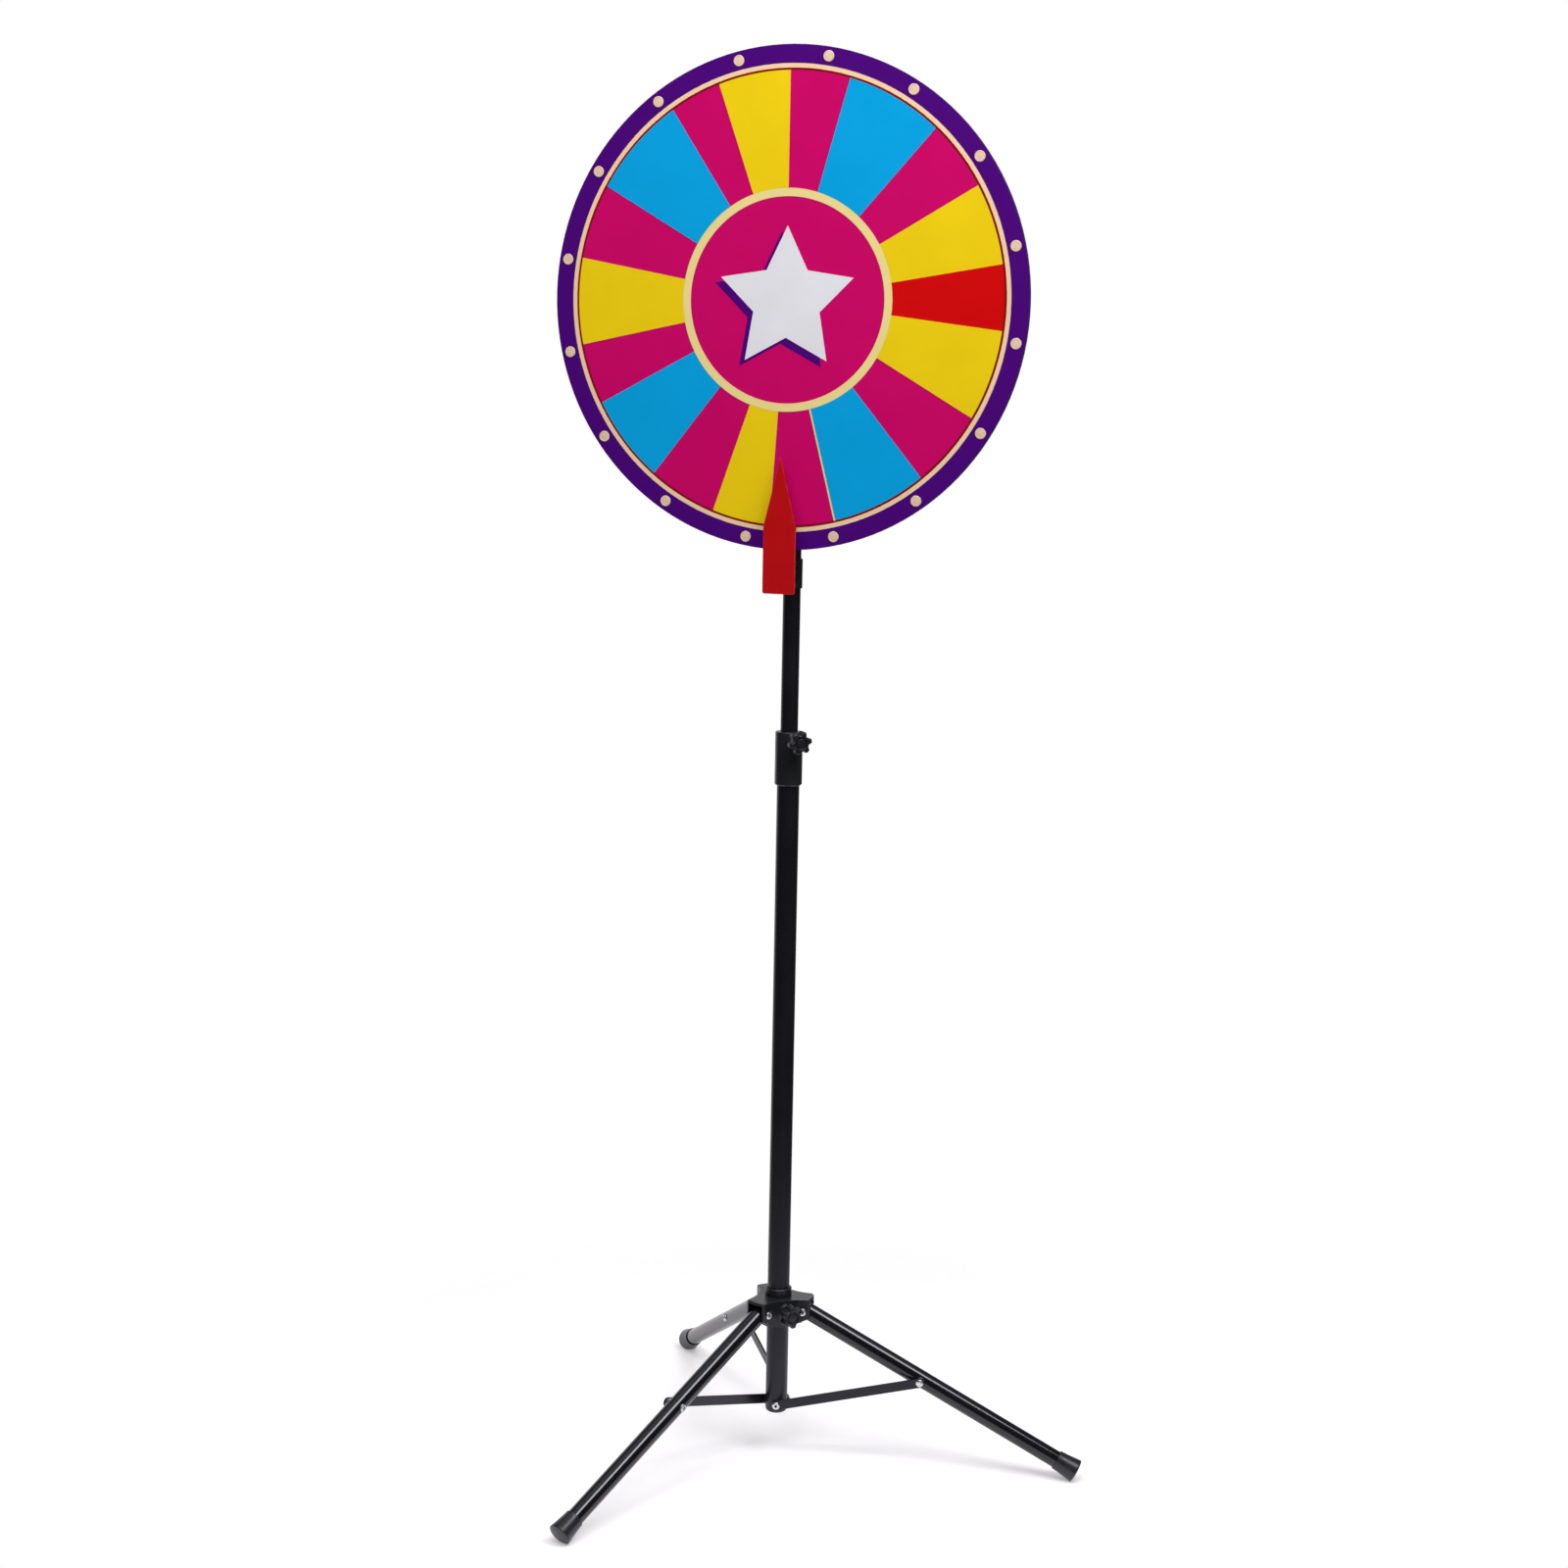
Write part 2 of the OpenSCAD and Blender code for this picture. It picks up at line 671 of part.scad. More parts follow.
// Legs, each with a rubber foot and its half of the brace rivet

module leg_tube(k) {
  color(BLACK) along_leg(k) difference() {
    tube(leg_r, leg_wall, -leg_stub, leg_tube_end);
    rotate([90, 0, 0]) cylinder(r = leg_pin_d / 2 + run_fit, h = leg_d + 2 * past, center = true);
    translate([0, 0, brace_at]) rotate([90, 0, 0])
      cylinder(r = rivet_d / 2 + seat_fit, h = leg_d + 2 * past, center = true);
  }
}

module leg_foot(k) {
  top_r = foot_top_d / 2;
  color(RUBBER) difference() {
    along_leg(k) difference() {
      rotate_extrude() polygon([
        [0, foot_at], [top_r - foot_lip, foot_at], [top_r, foot_at + foot_lip],
        [top_r, foot_at + foot_straight], [foot_end_r, leg_end - foot_lip], [foot_end_r, leg_end],
        [0, leg_end]]);
      translate([0, 0, foot_at - past]) cylinder(r = leg_r + seat_fit, h = leg_tube_end - foot_at + past);
    }
    translate([-leg_end, -leg_end, -2 * foot_end_d])
      cube([2 * leg_end + arm_end, 2 * leg_end, 2 * foot_end_d]);
  }
}

module leg_rivet(k) {
  color(ZINC) along_leg(k) translate([0, 0, brace_at]) difference() {
    rotate([90, 0, 0]) {
      translate([0, 0, -leg_r]) cylinder(d = rivet_d, h = leg_r + brace_in - open_gap);
      cylinder(d = rivet_spacer_d, h = brace_in - open_gap);
      translate([0, 0, -leg_r]) mirror([0, 0, 1]) rivet_head();
      translate([0, 0, -leg_r]) cylinder(d = rivet_head_d, h = leg_wall);
    }
    difference() {
      cylinder(r = leg_r + seat_fit, h = 2 * rivet_spacer_d, center = true);
      rotate([90, 0, 0]) cylinder(d = rivet_d, h = leg_d + 2 * past, center = true);
    }
  }
}

// Braces, each a flat bar with its half of the rivet at the leg

module brace_bar(k) {
  color(BLACK) along_brace(k) difference() {
    union() {
      translate([-brace_w / 2, -brace_out, 0]) cube([brace_w, brace_t, brace_len]);
      for (z = [0, brace_len]) translate([0, -brace_in, z]) rotate([90, 0, 0])
        cylinder(d = brace_w, h = brace_t);
    }
    translate([0, -brace_in + past, 0]) rotate([90, 0, 0])
      cylinder(r = rivet_d / 2 + run_fit, h = brace_t + 2 * past);
    translate([0, -brace_in + past, brace_len]) rotate([90, 0, 0])
      cylinder(r = rivet_d / 2 + seat_fit, h = brace_t + 2 * past);
  }
}

module brace_rivet(k) {
  color(ZINC) along_brace(k) translate([0, -brace_in, brace_len]) rotate([90, 0, 0]) {
    cylinder(d = rivet_d, h = brace_t);
    translate([0, 0, brace_t]) rivet_head();
  }
}

// Star knobs and their clamping screws, on the knob's axis from its boss outwards

module star_knob(boss_out, lobe_turn) {
  lobe_at = knob_r - lobe_r;
  lobe_step = 360 / knob_lobes;
  head_low = boss_out + face_gap + knob_stem;
  head_high = head_low + knob_t;
  difference() {
    union() {
      translate([0, 0, boss_out + face_gap]) cylinder(d = knob_stem_d, h = knob_stem + past);
      intersection() {
        translate([0, 0, head_low]) rotate(lobe_turn) linear_extrude(knob_t) difference() {
          union() {
            circle(r = lobe_at + lobe_r / 2);
            for (i = [1 : knob_lobes]) rotate(i * lobe_step) translate([lobe_at, 0]) circle(r = lobe_r);
          }
          for (i = [1 : knob_lobes]) rotate((i + 0.5) * lobe_step)
            translate([knob_r + lobe_gap_out, 0]) circle(r = lobe_gap_r);
        }
        rotate_extrude() polygon([
          [0, head_low], [knob_r - knob_crown / 2, head_low], [knob_r, head_low + knob_crown / 2],
          [knob_r, head_high - knob_crown], [knob_r - knob_crown / 2, head_high - knob_crown / 4],
          [knob_r - knob_crown, head_high], [0, head_high]]);
      }
    }
    translate([0, 0, head_high - knob_dish]) cylinder(d = knob_dish_d, h = knob_dish + past);
    translate([0, 0, boss_out]) cylinder(r = knob_screw_r + seat_fit, h = face_gap + knob_stem + knob_grip);
  }
}

module knob_screw(tip, boss_out) {
  translate([0, 0, tip]) cylinder(r = knob_screw_r, h = boss_out + face_gap + knob_stem + knob_grip - tip);
}

module height_knob() {
  color(COAL) on_knob(collar_knob_z) star_knob(collar_boss_out, height_lobe_turn);
}

module height_knob_screw() {
  color(ZINC) on_knob(collar_knob_z) knob_screw(mast_r + face_gap, collar_boss_out);
}

module clamp_knob() {
  color(COAL) on_knob(spider_knob_z) star_knob(spider_boss_out, clamp_lobe_turn);
}

module clamp_knob_screw() {
  color(ZINC) on_knob(spider_knob_z) knob_screw(main_r + face_gap, spider_boss_out);
}

// Mast: the upper tube, the bush it turns in, and its plugs

module slide_bush() {
  color(WHITE) ring(main_bore_r - run_fit, mast_r + run_fit, mast_low, mast_low + bush_len);
}

module mast_tube() {
  color(BLACK) difference() {
    tube(mast_r, mast_wall, mast_low, mast_high);
    on_axle() cylinder(r = bearing_bore / 2, h = mast_d + 2 * past, center = true);
  }
}

// Plug with a flange on the plane Z = 0 and a spigot that runs up from it.
module tube_plug(flange_r) {
  translate([0, 0, -plug_flange]) cylinder(r = flange_r, h = plug_flange);
  cylinder(r = mast_r - mast_wall - seat_fit, h = plug_len);
}

module mast_top_plug() {
  spigot = min(plug_len, mast_over_axle - bearing_bore);
  color(COAL) translate([0, 0, mast_high]) {
    translate([0, 0, -spigot]) cylinder(r = mast_r - mast_wall - seat_fit, h = spigot);
    rotate_extrude() polygon([
      [0, 0], [mast_r, 0], [mast_r, plug_flange / 2], [mast_r - plug_slope, plug_flange],
      [0, plug_flange]]);
  }
}

module mast_foot_plug() {
  color(COAL) translate([0, 0, mast_low - face_gap]) {
    tube_plug((mast_r + main_bore_r) / 2);
    cylinder(r = mast_r, h = face_gap);
  }
}

module bush_stop_ring() {
  low = mast_low + bush_len + face_gap;
  color(STEEL) ring((mast_r + main_bore_r) / 2, mast_r + seat_fit, low, low + stop_ring_len);
}

// Axle through the mast, with the fixed halves of the bearings

module axle_bolt() {
  color(ZINC) on_axle() {
    translate([0, 0, nut_back]) cylinder(r = axle_r, h = bearing_front - nut_back);
    hexagon(bolt_head_flats, bearing_front, bolt_head_front);
  }
}

module axle_spacer() {
  color(ZINC) difference() {
    on_axle() ring(inner_race_r - seat_fit, bearing_bore / 2, 0, bearing_back);
    cylinder(r = mast_r + seat_fit, h = mast_high + past);
  }
}

module axle_washer() {
  color(COAL) difference() {
    on_axle() ring(back_washer_d / 2, bearing_bore / 2, nut_front, 0);
    cylinder(r = mast_r + seat_fit, h = mast_high + past);
  }
}

module axle_nut() {
  dome_r = axle_nut_flats / 2;
  color(ZINC) on_axle() difference() {
    union() {
      hexagon(axle_nut_flats, nut_back, nut_front);
      rotate_extrude() polygon([
        [0, nut_back], for (share = NUT_DOME) [dome_r * share[0], nut_back - axle_nut_dome * share[1]]]);
    }
    translate([0, 0, nut_back]) cylinder(r = axle_r + seat_fit, h = axle_nut_h + past);
  }
}

// Places its children at the middle of each of the two bearings.
module each_bearing() {
  for (middle = [bearing_back + bearing_w / 2, bearing_front - bearing_w / 2])
    translate([0, 0, middle]) children();
}

// Groove that the balls run in, as a ring of round section.
module ball_groove() {
  rotate_extrude() translate([ball_circle_r, 0]) circle(r = ball_d / 2 + run_fit);
}

module bearing_inner_races() {
  color(STEEL) on_axle() each_bearing() difference() {
    ring(inner_race_r, bearing_bore / 2, -bearing_w / 2, bearing_w / 2);
    ball_groove();
  }
}

// Pointer and the bracket that holds it on the mast

module pointer_bracket() {
  arm_low = bracket_low + bracket_rim;
  arm_high = bracket_low + bracket_h - bracket_rim;
  color(COAL) difference() {
    union() {
      translate([0, 0, bracket_low]) cylinder(r = bracket_r, h = bracket_h);
      translate([-bracket_web / 2, -plate_back, arm_low])
        cube([bracket_web, plate_back, arm_high - arm_low]);
      for (z = [arm_low, arm_high - bracket_web])
        translate([-bracket_arm_w / 2, -plate_back, z]) cube([bracket_arm_w, plate_back, bracket_web]);
      translate([-bracket_plate_w / 2, -blade_back, bracket_low])
        cube([bracket_plate_w, bracket_plate_t, bracket_h]);
      translate([0, 0, bracket_mid]) rotate([-90, 0, 0])
        cylinder(d = lock_boss_d, h = bracket_r + lock_boss_out);
    }
    translate([0, 0, bracket_low - past]) cylinder(r = mast_r + seat_fit, h = bracket_h + 2 * past);
    translate([0, 0, bracket_mid]) rotate([-90, 0, 0])
      cylinder(r = lock_screw_d / 2 + seat_fit, h = bracket_r + lock_boss_out + past);
    for (side = [-1, 1]) translate([side * blade_screw_gap / 2, -blade_back - past, bracket_mid])
      rotate([-90, 0, 0]) cylinder(d = blade_screw_d, h = bracket_plate_t + 2 * past);
  }
}

module pointer_blade() {
  half = pointer_w / 2;
  body = pointer_len - pointer_taper;
  color(RED) difference() {
    translate([0, -blade_back, pointer_low]) rotate([90, 0, 0]) linear_extrude(pointer_t) difference() {
      polygon([[-half, 0], [-half, body], [0, pointer_len], [half, body], [half, 0]]);
      for (side = [0, 1]) mirror([side, 0]) translate([half - pointer_corner, 0]) difference() {
        translate([0, -past]) square([pointer_corner + past, pointer_corner + past]);
        translate([0, pointer_corner]) circle(r = pointer_corner);
      }
    }
    for (side = [-1, 1]) translate([side * blade_screw_gap / 2, past - blade_back, bracket_mid])
      rotate([90, 0, 0]) cylinder(d = blade_screw_d, h = blade_screw_bite + past);
  }
}

module blade_screws() {
  color(ZINC) for (side = [-1, 1]) translate([side * blade_screw_gap / 2, -plate_back, bracket_mid])
    rotate([-90, 0, 0]) pan_screw(blade_screw_d, bracket_plate_t + blade_screw_bite);
}

module bracket_lock_screw() {
  tip = mast_r + seat_fit;
  out = bracket_r + lock_boss_out;
  color(ZINC) translate([0, 0, bracket_mid]) rotate([-90, 0, 0]) difference() {
    translate([0, 0, tip]) cylinder(d = lock_screw_d, h = out - tip);
    hexagon(lock_screw_d / 2, out - lock_socket, out + past);
  }
}

// Wheel: board, printed face and studs

module wheel_board() {
  color(BOARD) on_axle() difference() {
    translate([0, 0, board_back]) cylinder(r = wheel_r, h = wheel_t);
    each_hub_screw() translate([0, 0, board_back - past])
      cylinder(d = hub_screw_d, h = hub_screw_bite + past);
  }
}

// Flat ring of film on the board, short of its outer neighbour by the film gap.
module film_ring(outer, inner) {
  on_axle() ring(outer, inner + film_gap, board_front, print_front);
}

module rim_band() {
  color(PURPLE) film_ring(wheel_r, cream_r);
}

module cream_ring() {
  color(CREAM) film_ring(cream_r, line_r);
}

module border_line() {
  color(DARK_LINE) film_ring(line_r, segment_r);
}

module magenta_face() {
  color(MAGENTA) on_axle() translate([0, 0, board_front]) cylinder(r = segment_r, h = film_t);
}

// Extrudes its flat children into the second layer of film.
module second_layer() {
  on_axle() translate([0, 0, print_front]) linear_extrude(film_t) children();
}

// Clockwise angle from the top at which a segment starts.
function segment_start(i) = i == 0 ? 0 : segment_start(i - 1) + SEGMENTS[i - 1][1];

// Point at a radius and a clockwise angle from the top.
function clock(r, angle) = [r * sin(angle), r * cos(angle)];

module segments(colour_name) {
  second_layer() for (i = [0 : len(SEGMENTS) - 1]) if (SEGMENTS[i][0] == colour_name) {
    start = segment_start(i);
    end = start + SEGMENTS[i][1];
    intersection() {
      difference() {
        circle(r = segment_r);
        circle(r = gold_r + film_gap);
      }
      polygon([[0, 0], clock(2 * wheel_r, start), clock(2 * wheel_r, end)]);
    }
  }
}

module blue_segments() {
  color(BLUE) segments("blue");
}

module yellow_segments() {
  color(YELLOW) segments("yellow");
}

module red_segment() {
  color(RED) segments("red");
}

module gold_ring() {
  color(CREAM) second_layer() difference() {
    circle(r = gold_r);
    circle(r = centre_r);
  }
}

// Five-pointed star, made larger all round by a margin at its points and notches.
module star_outline(margin = 0) {
  polygon([for (i = [0 : 9]) clock((i % 2 == 0 ? star_r : star_notch_r) + margin, i * 36)]);
}

module star() {
  color(WHITE) second_layer() star_outline();
}

module star_shadow() {
  color(PURPLE) second_layer() difference() {
    translate([-shadow_shift, -shadow_shift]) star_outline();
    star_outline(2 * film_gap);
  }
}

module rim_studs() {
  stud_r = stud_d / 2;
  color(CREAM) on_axle() for (i = [0 : stud_count - 1]) rotate([0, 0, -stud_turn - i * 360 / stud_count])
    translate([0, stud_circle_r, print_front]) cylinder(r1 = stud_r, r2 = stud_r - stud_edge, h = stud_h);
}

// Hub behind the board, with the turning halves of the bearings

// Places its children at each hub screw.
module each_hub_screw() {
  for (i = [0 : hub_screw_count - 1]) rotate([0, 0, i * 360 / hub_screw_count])
    translate([0, hub_screw_circle / 2, 0]) children();
}

module wheel_hub() {
  flange_back = board_back - flange_t;
  color(COAL) on_axle() difference() {
    union() {
      rotate_extrude() polygon([
        [pocket_r, bearing_front], [pocket_r, board_back], [flange_d / 2, board_back],
        [flange_d / 2, flange_back], [barrel_r, flange_back], [barrel_r, barrel_end],
        [barrel_bore_r, barrel_end], [barrel_bore_r, bearing_front]]);
      for (i = [0 : rib_count - 1]) rotate([90, 0, (i + 0.5) * 360 / rib_count + 90])
        linear_extrude(rib_t, center = true) polygon([
          [barrel_r - rib_root, flange_back], [barrel_r + rib_reach, flange_back],
          [barrel_r, flange_back - rib_run], [barrel_r - rib_root, flange_back - rib_run]]);
    }
    ring(barrel_bore_r + circlip_groove, barrel_bore_r - past, bearing_back - circlip_t, bearing_back);
    each_hub_screw() translate([0, 0, flange_back - past])
      cylinder(d = hub_screw_d, h = flange_t + 2 * past);
  }
}

module hub_screws() {
  color(ZINC) on_axle() each_hub_screw() translate([0, 0, board_back - flange_t]) mirror([0, 0, 1])
    pan_screw(hub_screw_d, flange_t + hub_screw_bite);
}

module bearing_outer_races() {
  color(STEEL) on_axle() each_bearing() difference() {
    ring(bearing_od / 2, outer_race_r, -bearing_w / 2, bearing_w / 2);
    ball_groove();
  }
}

module bearing_balls() {
  color(STEEL) on_axle() each_bearing() for (i = [1 : ball_count]) rotate([0, 0, i * 360 / ball_count])
    translate([ball_circle_r, 0, 0]) sphere(d = ball_d);
}

module bearing_shields() {
  color(STEEL) on_axle() for (low = [bearing_back, bearing_front - shield_t])
    ring(outer_race_r - seat_fit, inner_race_r + 2 * run_fit, low, low + shield_t);
}

module bearing_circlip() {
  outer = barrel_bore_r + circlip_groove - seat_fit;
  inner = barrel_bore_r - circlip_w;
  color(ZINC) on_axle() ring(outer, inner, bearing_back - circlip_t, bearing_back);
}

main_tube();
base_cup();
base_rivets();
height_collar();
collar_insert();
leg_spider();
leg_pins();
spider_insert();
leg_tube(0);  // right_leg_tube
leg_foot(0);  // right_leg_foot
leg_rivet(0);  // right_leg_rivet
leg_tube(1);  // rear_leg_tube
leg_foot(1);  // rear_leg_foot
leg_rivet(1);  // rear_leg_rivet
leg_tube(2);  // left_leg_tube
leg_foot(2);  // left_leg_foot
leg_rivet(2);  // left_leg_rivet
brace_bar(0);  // right_brace_bar
brace_rivet(0);  // right_brace_rivet
brace_bar(1);  // rear_brace_bar
brace_rivet(1);  // rear_brace_rivet
brace_bar(2);  // left_brace_bar
brace_rivet(2);  // left_brace_rivet
height_knob();
height_knob_screw();
clamp_knob();
clamp_knob_screw();
slide_bush();
mast_tube();
mast_top_plug();
mast_foot_plug();
bush_stop_ring();
axle_bolt();
axle_spacer();
axle_washer();
axle_nut();
bearing_inner_races();
pointer_bracket();
pointer_blade();
blade_screws();
bracket_lock_screw();
wheel_board();
rim_band();
cream_ring();
border_line();
magenta_face();
blue_segments();
yellow_segments();
red_segment();
gold_ring();
star();
star_shadow();
rim_studs();
wheel_hub();
hub_screws();
bearing_outer_races();
bearing_balls();
bearing_shields();
bearing_circlip();
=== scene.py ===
"""Prize wheel on a folding tripod floor stand: the looks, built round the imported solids.

Lengths are in metres, and the wheel faces -Y.
"""

import json
import math

import bmesh
import bpy
from mathutils import Matrix, Vector
from mathutils.bvhtree import BVHTree
from mathutils.kdtree import KDTree


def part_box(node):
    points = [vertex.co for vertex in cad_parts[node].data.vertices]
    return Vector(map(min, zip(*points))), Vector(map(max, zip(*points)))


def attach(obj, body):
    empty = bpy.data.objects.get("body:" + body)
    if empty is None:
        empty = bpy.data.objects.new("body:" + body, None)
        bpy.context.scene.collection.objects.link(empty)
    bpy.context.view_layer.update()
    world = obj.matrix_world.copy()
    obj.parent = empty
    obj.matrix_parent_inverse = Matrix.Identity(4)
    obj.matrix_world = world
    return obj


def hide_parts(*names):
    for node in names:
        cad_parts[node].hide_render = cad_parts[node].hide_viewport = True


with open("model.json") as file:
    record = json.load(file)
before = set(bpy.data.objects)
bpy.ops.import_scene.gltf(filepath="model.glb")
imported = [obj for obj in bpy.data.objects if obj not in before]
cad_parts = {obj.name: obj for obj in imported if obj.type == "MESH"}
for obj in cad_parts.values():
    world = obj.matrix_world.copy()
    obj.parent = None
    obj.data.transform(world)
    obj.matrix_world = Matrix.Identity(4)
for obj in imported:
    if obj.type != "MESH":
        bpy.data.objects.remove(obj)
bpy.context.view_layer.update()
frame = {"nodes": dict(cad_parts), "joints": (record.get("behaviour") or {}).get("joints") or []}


# Studio: a pale floor that runs up into a white sweep behind the wheel, with a dimmer room in front.
# A wide soft lamp hangs above, a smaller one above the right, and one above the front.
# The camera stands about 3.4 m away at the height of the wheel's lower half and looks slightly down.

def put(tree, kind, inputs=None, **settings):
    """Adds a node, sets its properties, and sets or links its inputs."""
    node = tree.nodes.new(kind)
    for key, value in settings.items():
        setattr(node, key, value)
    for key, value in (inputs or {}).items():
        if isinstance(value, bpy.types.NodeSocket):
            tree.links.new(value, node.inputs[key])
        else:
            node.inputs[key].default_value = value
    return node


def calc(tree, operation, *values):
    """Adds a Math node and gives its result."""
    return put(tree, "ShaderNodeMath", dict(enumerate(values)), operation=operation).outputs[0]


def calc_vector(tree, operation, *vectors):
    """Adds a Vector Math node and gives its result, which is a number for a length or a dot product."""
    node = put(tree, "ShaderNodeVectorMath", dict(enumerate(vectors)), operation=operation)
    return node.outputs["Value" if operation in ("LENGTH", "DOT_PRODUCT") else "Vector"]


def ramp(tree, value, start, end, ease="LINEAR"):
    """Rises from 0, where a value is at the start of a range, to 1 at the range's end."""
    limits = {"Value": value, "From Min": start, "From Max": end}
    return put(tree, "ShaderNodeMapRange", limits, interpolation_type=ease).outputs["Result"]


def add_object(name, data):
    """Puts a mesh, a lamp or a camera into the scene as an object at the origin."""
    made = bpy.data.objects.new(name, data)
    bpy.context.scene.collection.objects.link(made)
    return made


scene = bpy.context.scene
scene.view_settings.view_transform = "Standard"

CAMERA_AT = Vector((1.0704, -3.2184, 1.4152))
CAMERA_TURN = math.radians(18.486)
CAMERA_DOWN = math.radians(8.766)
CAMERA_ROLL = math.radians(1.09)
SENSOR_MM = 36.0
LENS_MM = 61.92
camera_data = bpy.data.cameras.new("camera")
camera_data.sensor_width = SENSOR_MM
camera_data.lens = LENS_MM
camera = add_object("camera", camera_data)
camera.matrix_world = (Matrix.Translation(CAMERA_AT) @ Matrix.Rotation(CAMERA_TURN, 4, "Z")
                       @ Matrix.Rotation(math.pi / 2 - CAMERA_DOWN, 4, "X")
                       @ Matrix.Rotation(CAMERA_ROLL, 4, "Z"))
scene.camera = camera

WHITE = (1, 1, 1, 1)
AMBIENT_LEVEL = 0.36
ROOM_LEVEL = 0.06
SWEEP_WAY = (-0.574, 0.819, 0.0)
SWEEP_SIDE_EDGE = 0.6
SWEEP_SIDE_FULL = 0.85
SWEEP_TOP_EDGE = 0.65
SWEEP_TOP_FULL = 0.35
world = bpy.data.worlds.new("white_studio")
scene.world = world
world.use_nodes = True
sky = world.node_tree
sky.nodes.clear()
ray = put(sky, "ShaderNodeLightPath").outputs
looking = put(sky, "ShaderNodeTexCoord").outputs["Generated"]
backward = calc_vector(sky, "DOT_PRODUCT", looking, SWEEP_WAY)
behind = ramp(sky, backward, SWEEP_SIDE_EDGE, SWEEP_SIDE_FULL, "SMOOTHSTEP")
upward = put(sky, "ShaderNodeSeparateXYZ", {0: looking}).outputs["Z"]
below = ramp(sky, upward, SWEEP_TOP_EDGE, SWEEP_TOP_FULL, "SMOOTHSTEP")
mirrored = calc(sky, "MULTIPLY", ray["Is Glossy Ray"], calc(sky, "MULTIPLY", behind, below))
looked_at = calc(sky, "MAXIMUM", ray["Is Camera Ray"], mirrored)
seen = calc(sky, "MAXIMUM", looked_at, ray["Is Transmission Ray"])
level = calc(sky, "MULTIPLY_ADD", ray["Is Glossy Ray"], ROOM_LEVEL - AMBIENT_LEVEL, AMBIENT_LEVEL)
dim = put(sky, "ShaderNodeBackground", {"Color": WHITE, "Strength": level})
white = put(sky, "ShaderNodeBackground", {"Color": WHITE, "Strength": 1.0})
both = put(sky, "ShaderNodeMixShader", {0: seen, 1: dim.outputs[0], 2: white.outputs[0]})
put(sky, "ShaderNodeOutputWorld", {"Surface": both.outputs[0]})

LAMPS = (("overhead_lamp", (0.1, -0.2, 3.4), (0.1, -0.2, 0.0), 4.0, 4.0, 26.0),
         ("right_lamp", (1.6, -0.7, 3.0), (0.0, 0.0, 0.5), 1.12, 1.12, 36.0),
         ("front_lamp", (0.25, -1.5, 3.2), (0.0, 0.0, 1.2), 1.2, 0.8, 27.0))
for name, at, aim, wide, tall, watts in LAMPS:
    lamp = bpy.data.lights.new(name, "AREA")
    lamp.shape = "RECTANGLE"
    lamp.size = wide
    lamp.size_y = tall
    lamp.energy = watts
    lamp_object = add_object(name, lamp)
    lamp_object.location = at
    lamp_object.rotation_euler = (Vector(aim) - Vector(at)).to_track_quat("-Z", "Y").to_euler()

FLOOR_HALF = 8.0
FLOOR_DROP = 0.0005
FLOOR_SOLID = 0.45
FLOOR_GONE = 0.95
FLOOR_COLOUR = (0.9, 0.87, 0.912, 1)
FLOOR_LIFT = 0.29
floor_corners = [(x * FLOOR_HALF, y * FLOOR_HALF, -FLOOR_DROP)
                 for x, y in ((-1, -1), (1, -1), (1, 1), (-1, 1))]
floor_mesh = bpy.data.meshes.new("floor")
floor_mesh.from_pydata(floor_corners, [], [(0, 1, 2, 3)])
floor = add_object("floor", floor_mesh)
floor_paint = bpy.data.materials.new("floor_paint")
floor_paint.use_nodes = True
tree = floor_paint.node_tree
tree.nodes.clear()
reach = calc_vector(tree, "LENGTH", put(tree, "ShaderNodeTexCoord").outputs["Object"])
fade = ramp(tree, reach, FLOOR_SOLID, FLOOR_GONE, "SMOOTHSTEP")
ray = put(tree, "ShaderNodeLightPath").outputs
paint = put(tree, "ShaderNodeBsdfDiffuse", {"Color": FLOOR_COLOUR})
seen = calc(tree, "MAXIMUM", ray["Is Camera Ray"], ray["Is Glossy Ray"])
glow = calc(tree, "MULTIPLY", seen, FLOOR_LIFT)
lift = put(tree, "ShaderNodeEmission", {"Color": WHITE, "Strength": glow})
lit = put(tree, "ShaderNodeAddShader", {0: paint.outputs[0], 1: lift.outputs[0]})
clear = put(tree, "ShaderNodeBsdfTransparent")
shown = put(tree, "ShaderNodeMixShader", {0: fade, 1: lit.outputs[0], 2: clear.outputs[0]})
put(tree, "ShaderNodeOutputMaterial", {"Surface": shown.outputs[0]})
floor_mesh.materials.append(floor_paint)


# Main tube of the stand: welded steel tube with a black baked coat.
# The spider slides on its lower half and leaves faint lengthwise rub marks.

def srgb(code):
    """Linear RGBA of a colour written as six hexadecimal digits."""
    parts = [int(code[i:i + 2], 16) / 255 for i in (0, 2, 4)]
    return [c / 12.92 if c <= 0.04045 else ((c + 0.055) / 1.055) ** 2.4 for c in parts] + [1.0]


def noise(tree, place, scale, detail, roughness=0.5):
    """Adds a noise texture and gives its value."""
    inputs = {"Vector": place, "Scale": scale, "Detail": detail, "Roughness": roughness}
    return put(tree, "ShaderNodeTexNoise", inputs).outputs["Fac"]


def shader_group(name, vectors, numbers, results):
    """Starts a shader node group with named sockets, and gives it with its inner inputs and outputs."""
    group = bpy.data.node_groups.new(name, "ShaderNodeTree")
    rows = [(title, "INPUT", "NodeSocketVector") for title in vectors]
    rows += [(title, "INPUT", "NodeSocketFloat") for title in numbers]
    rows += [(title, "OUTPUT", "NodeSocketFloat") for title in results]
    for title, way, kind in rows:
        group.interface.new_socket(name=title, in_out=way, socket_type=kind)
    return group, group.nodes.new("NodeGroupInput").outputs, group.nodes.new("NodeGroupOutput").inputs


CELL_SHARE = 0.4


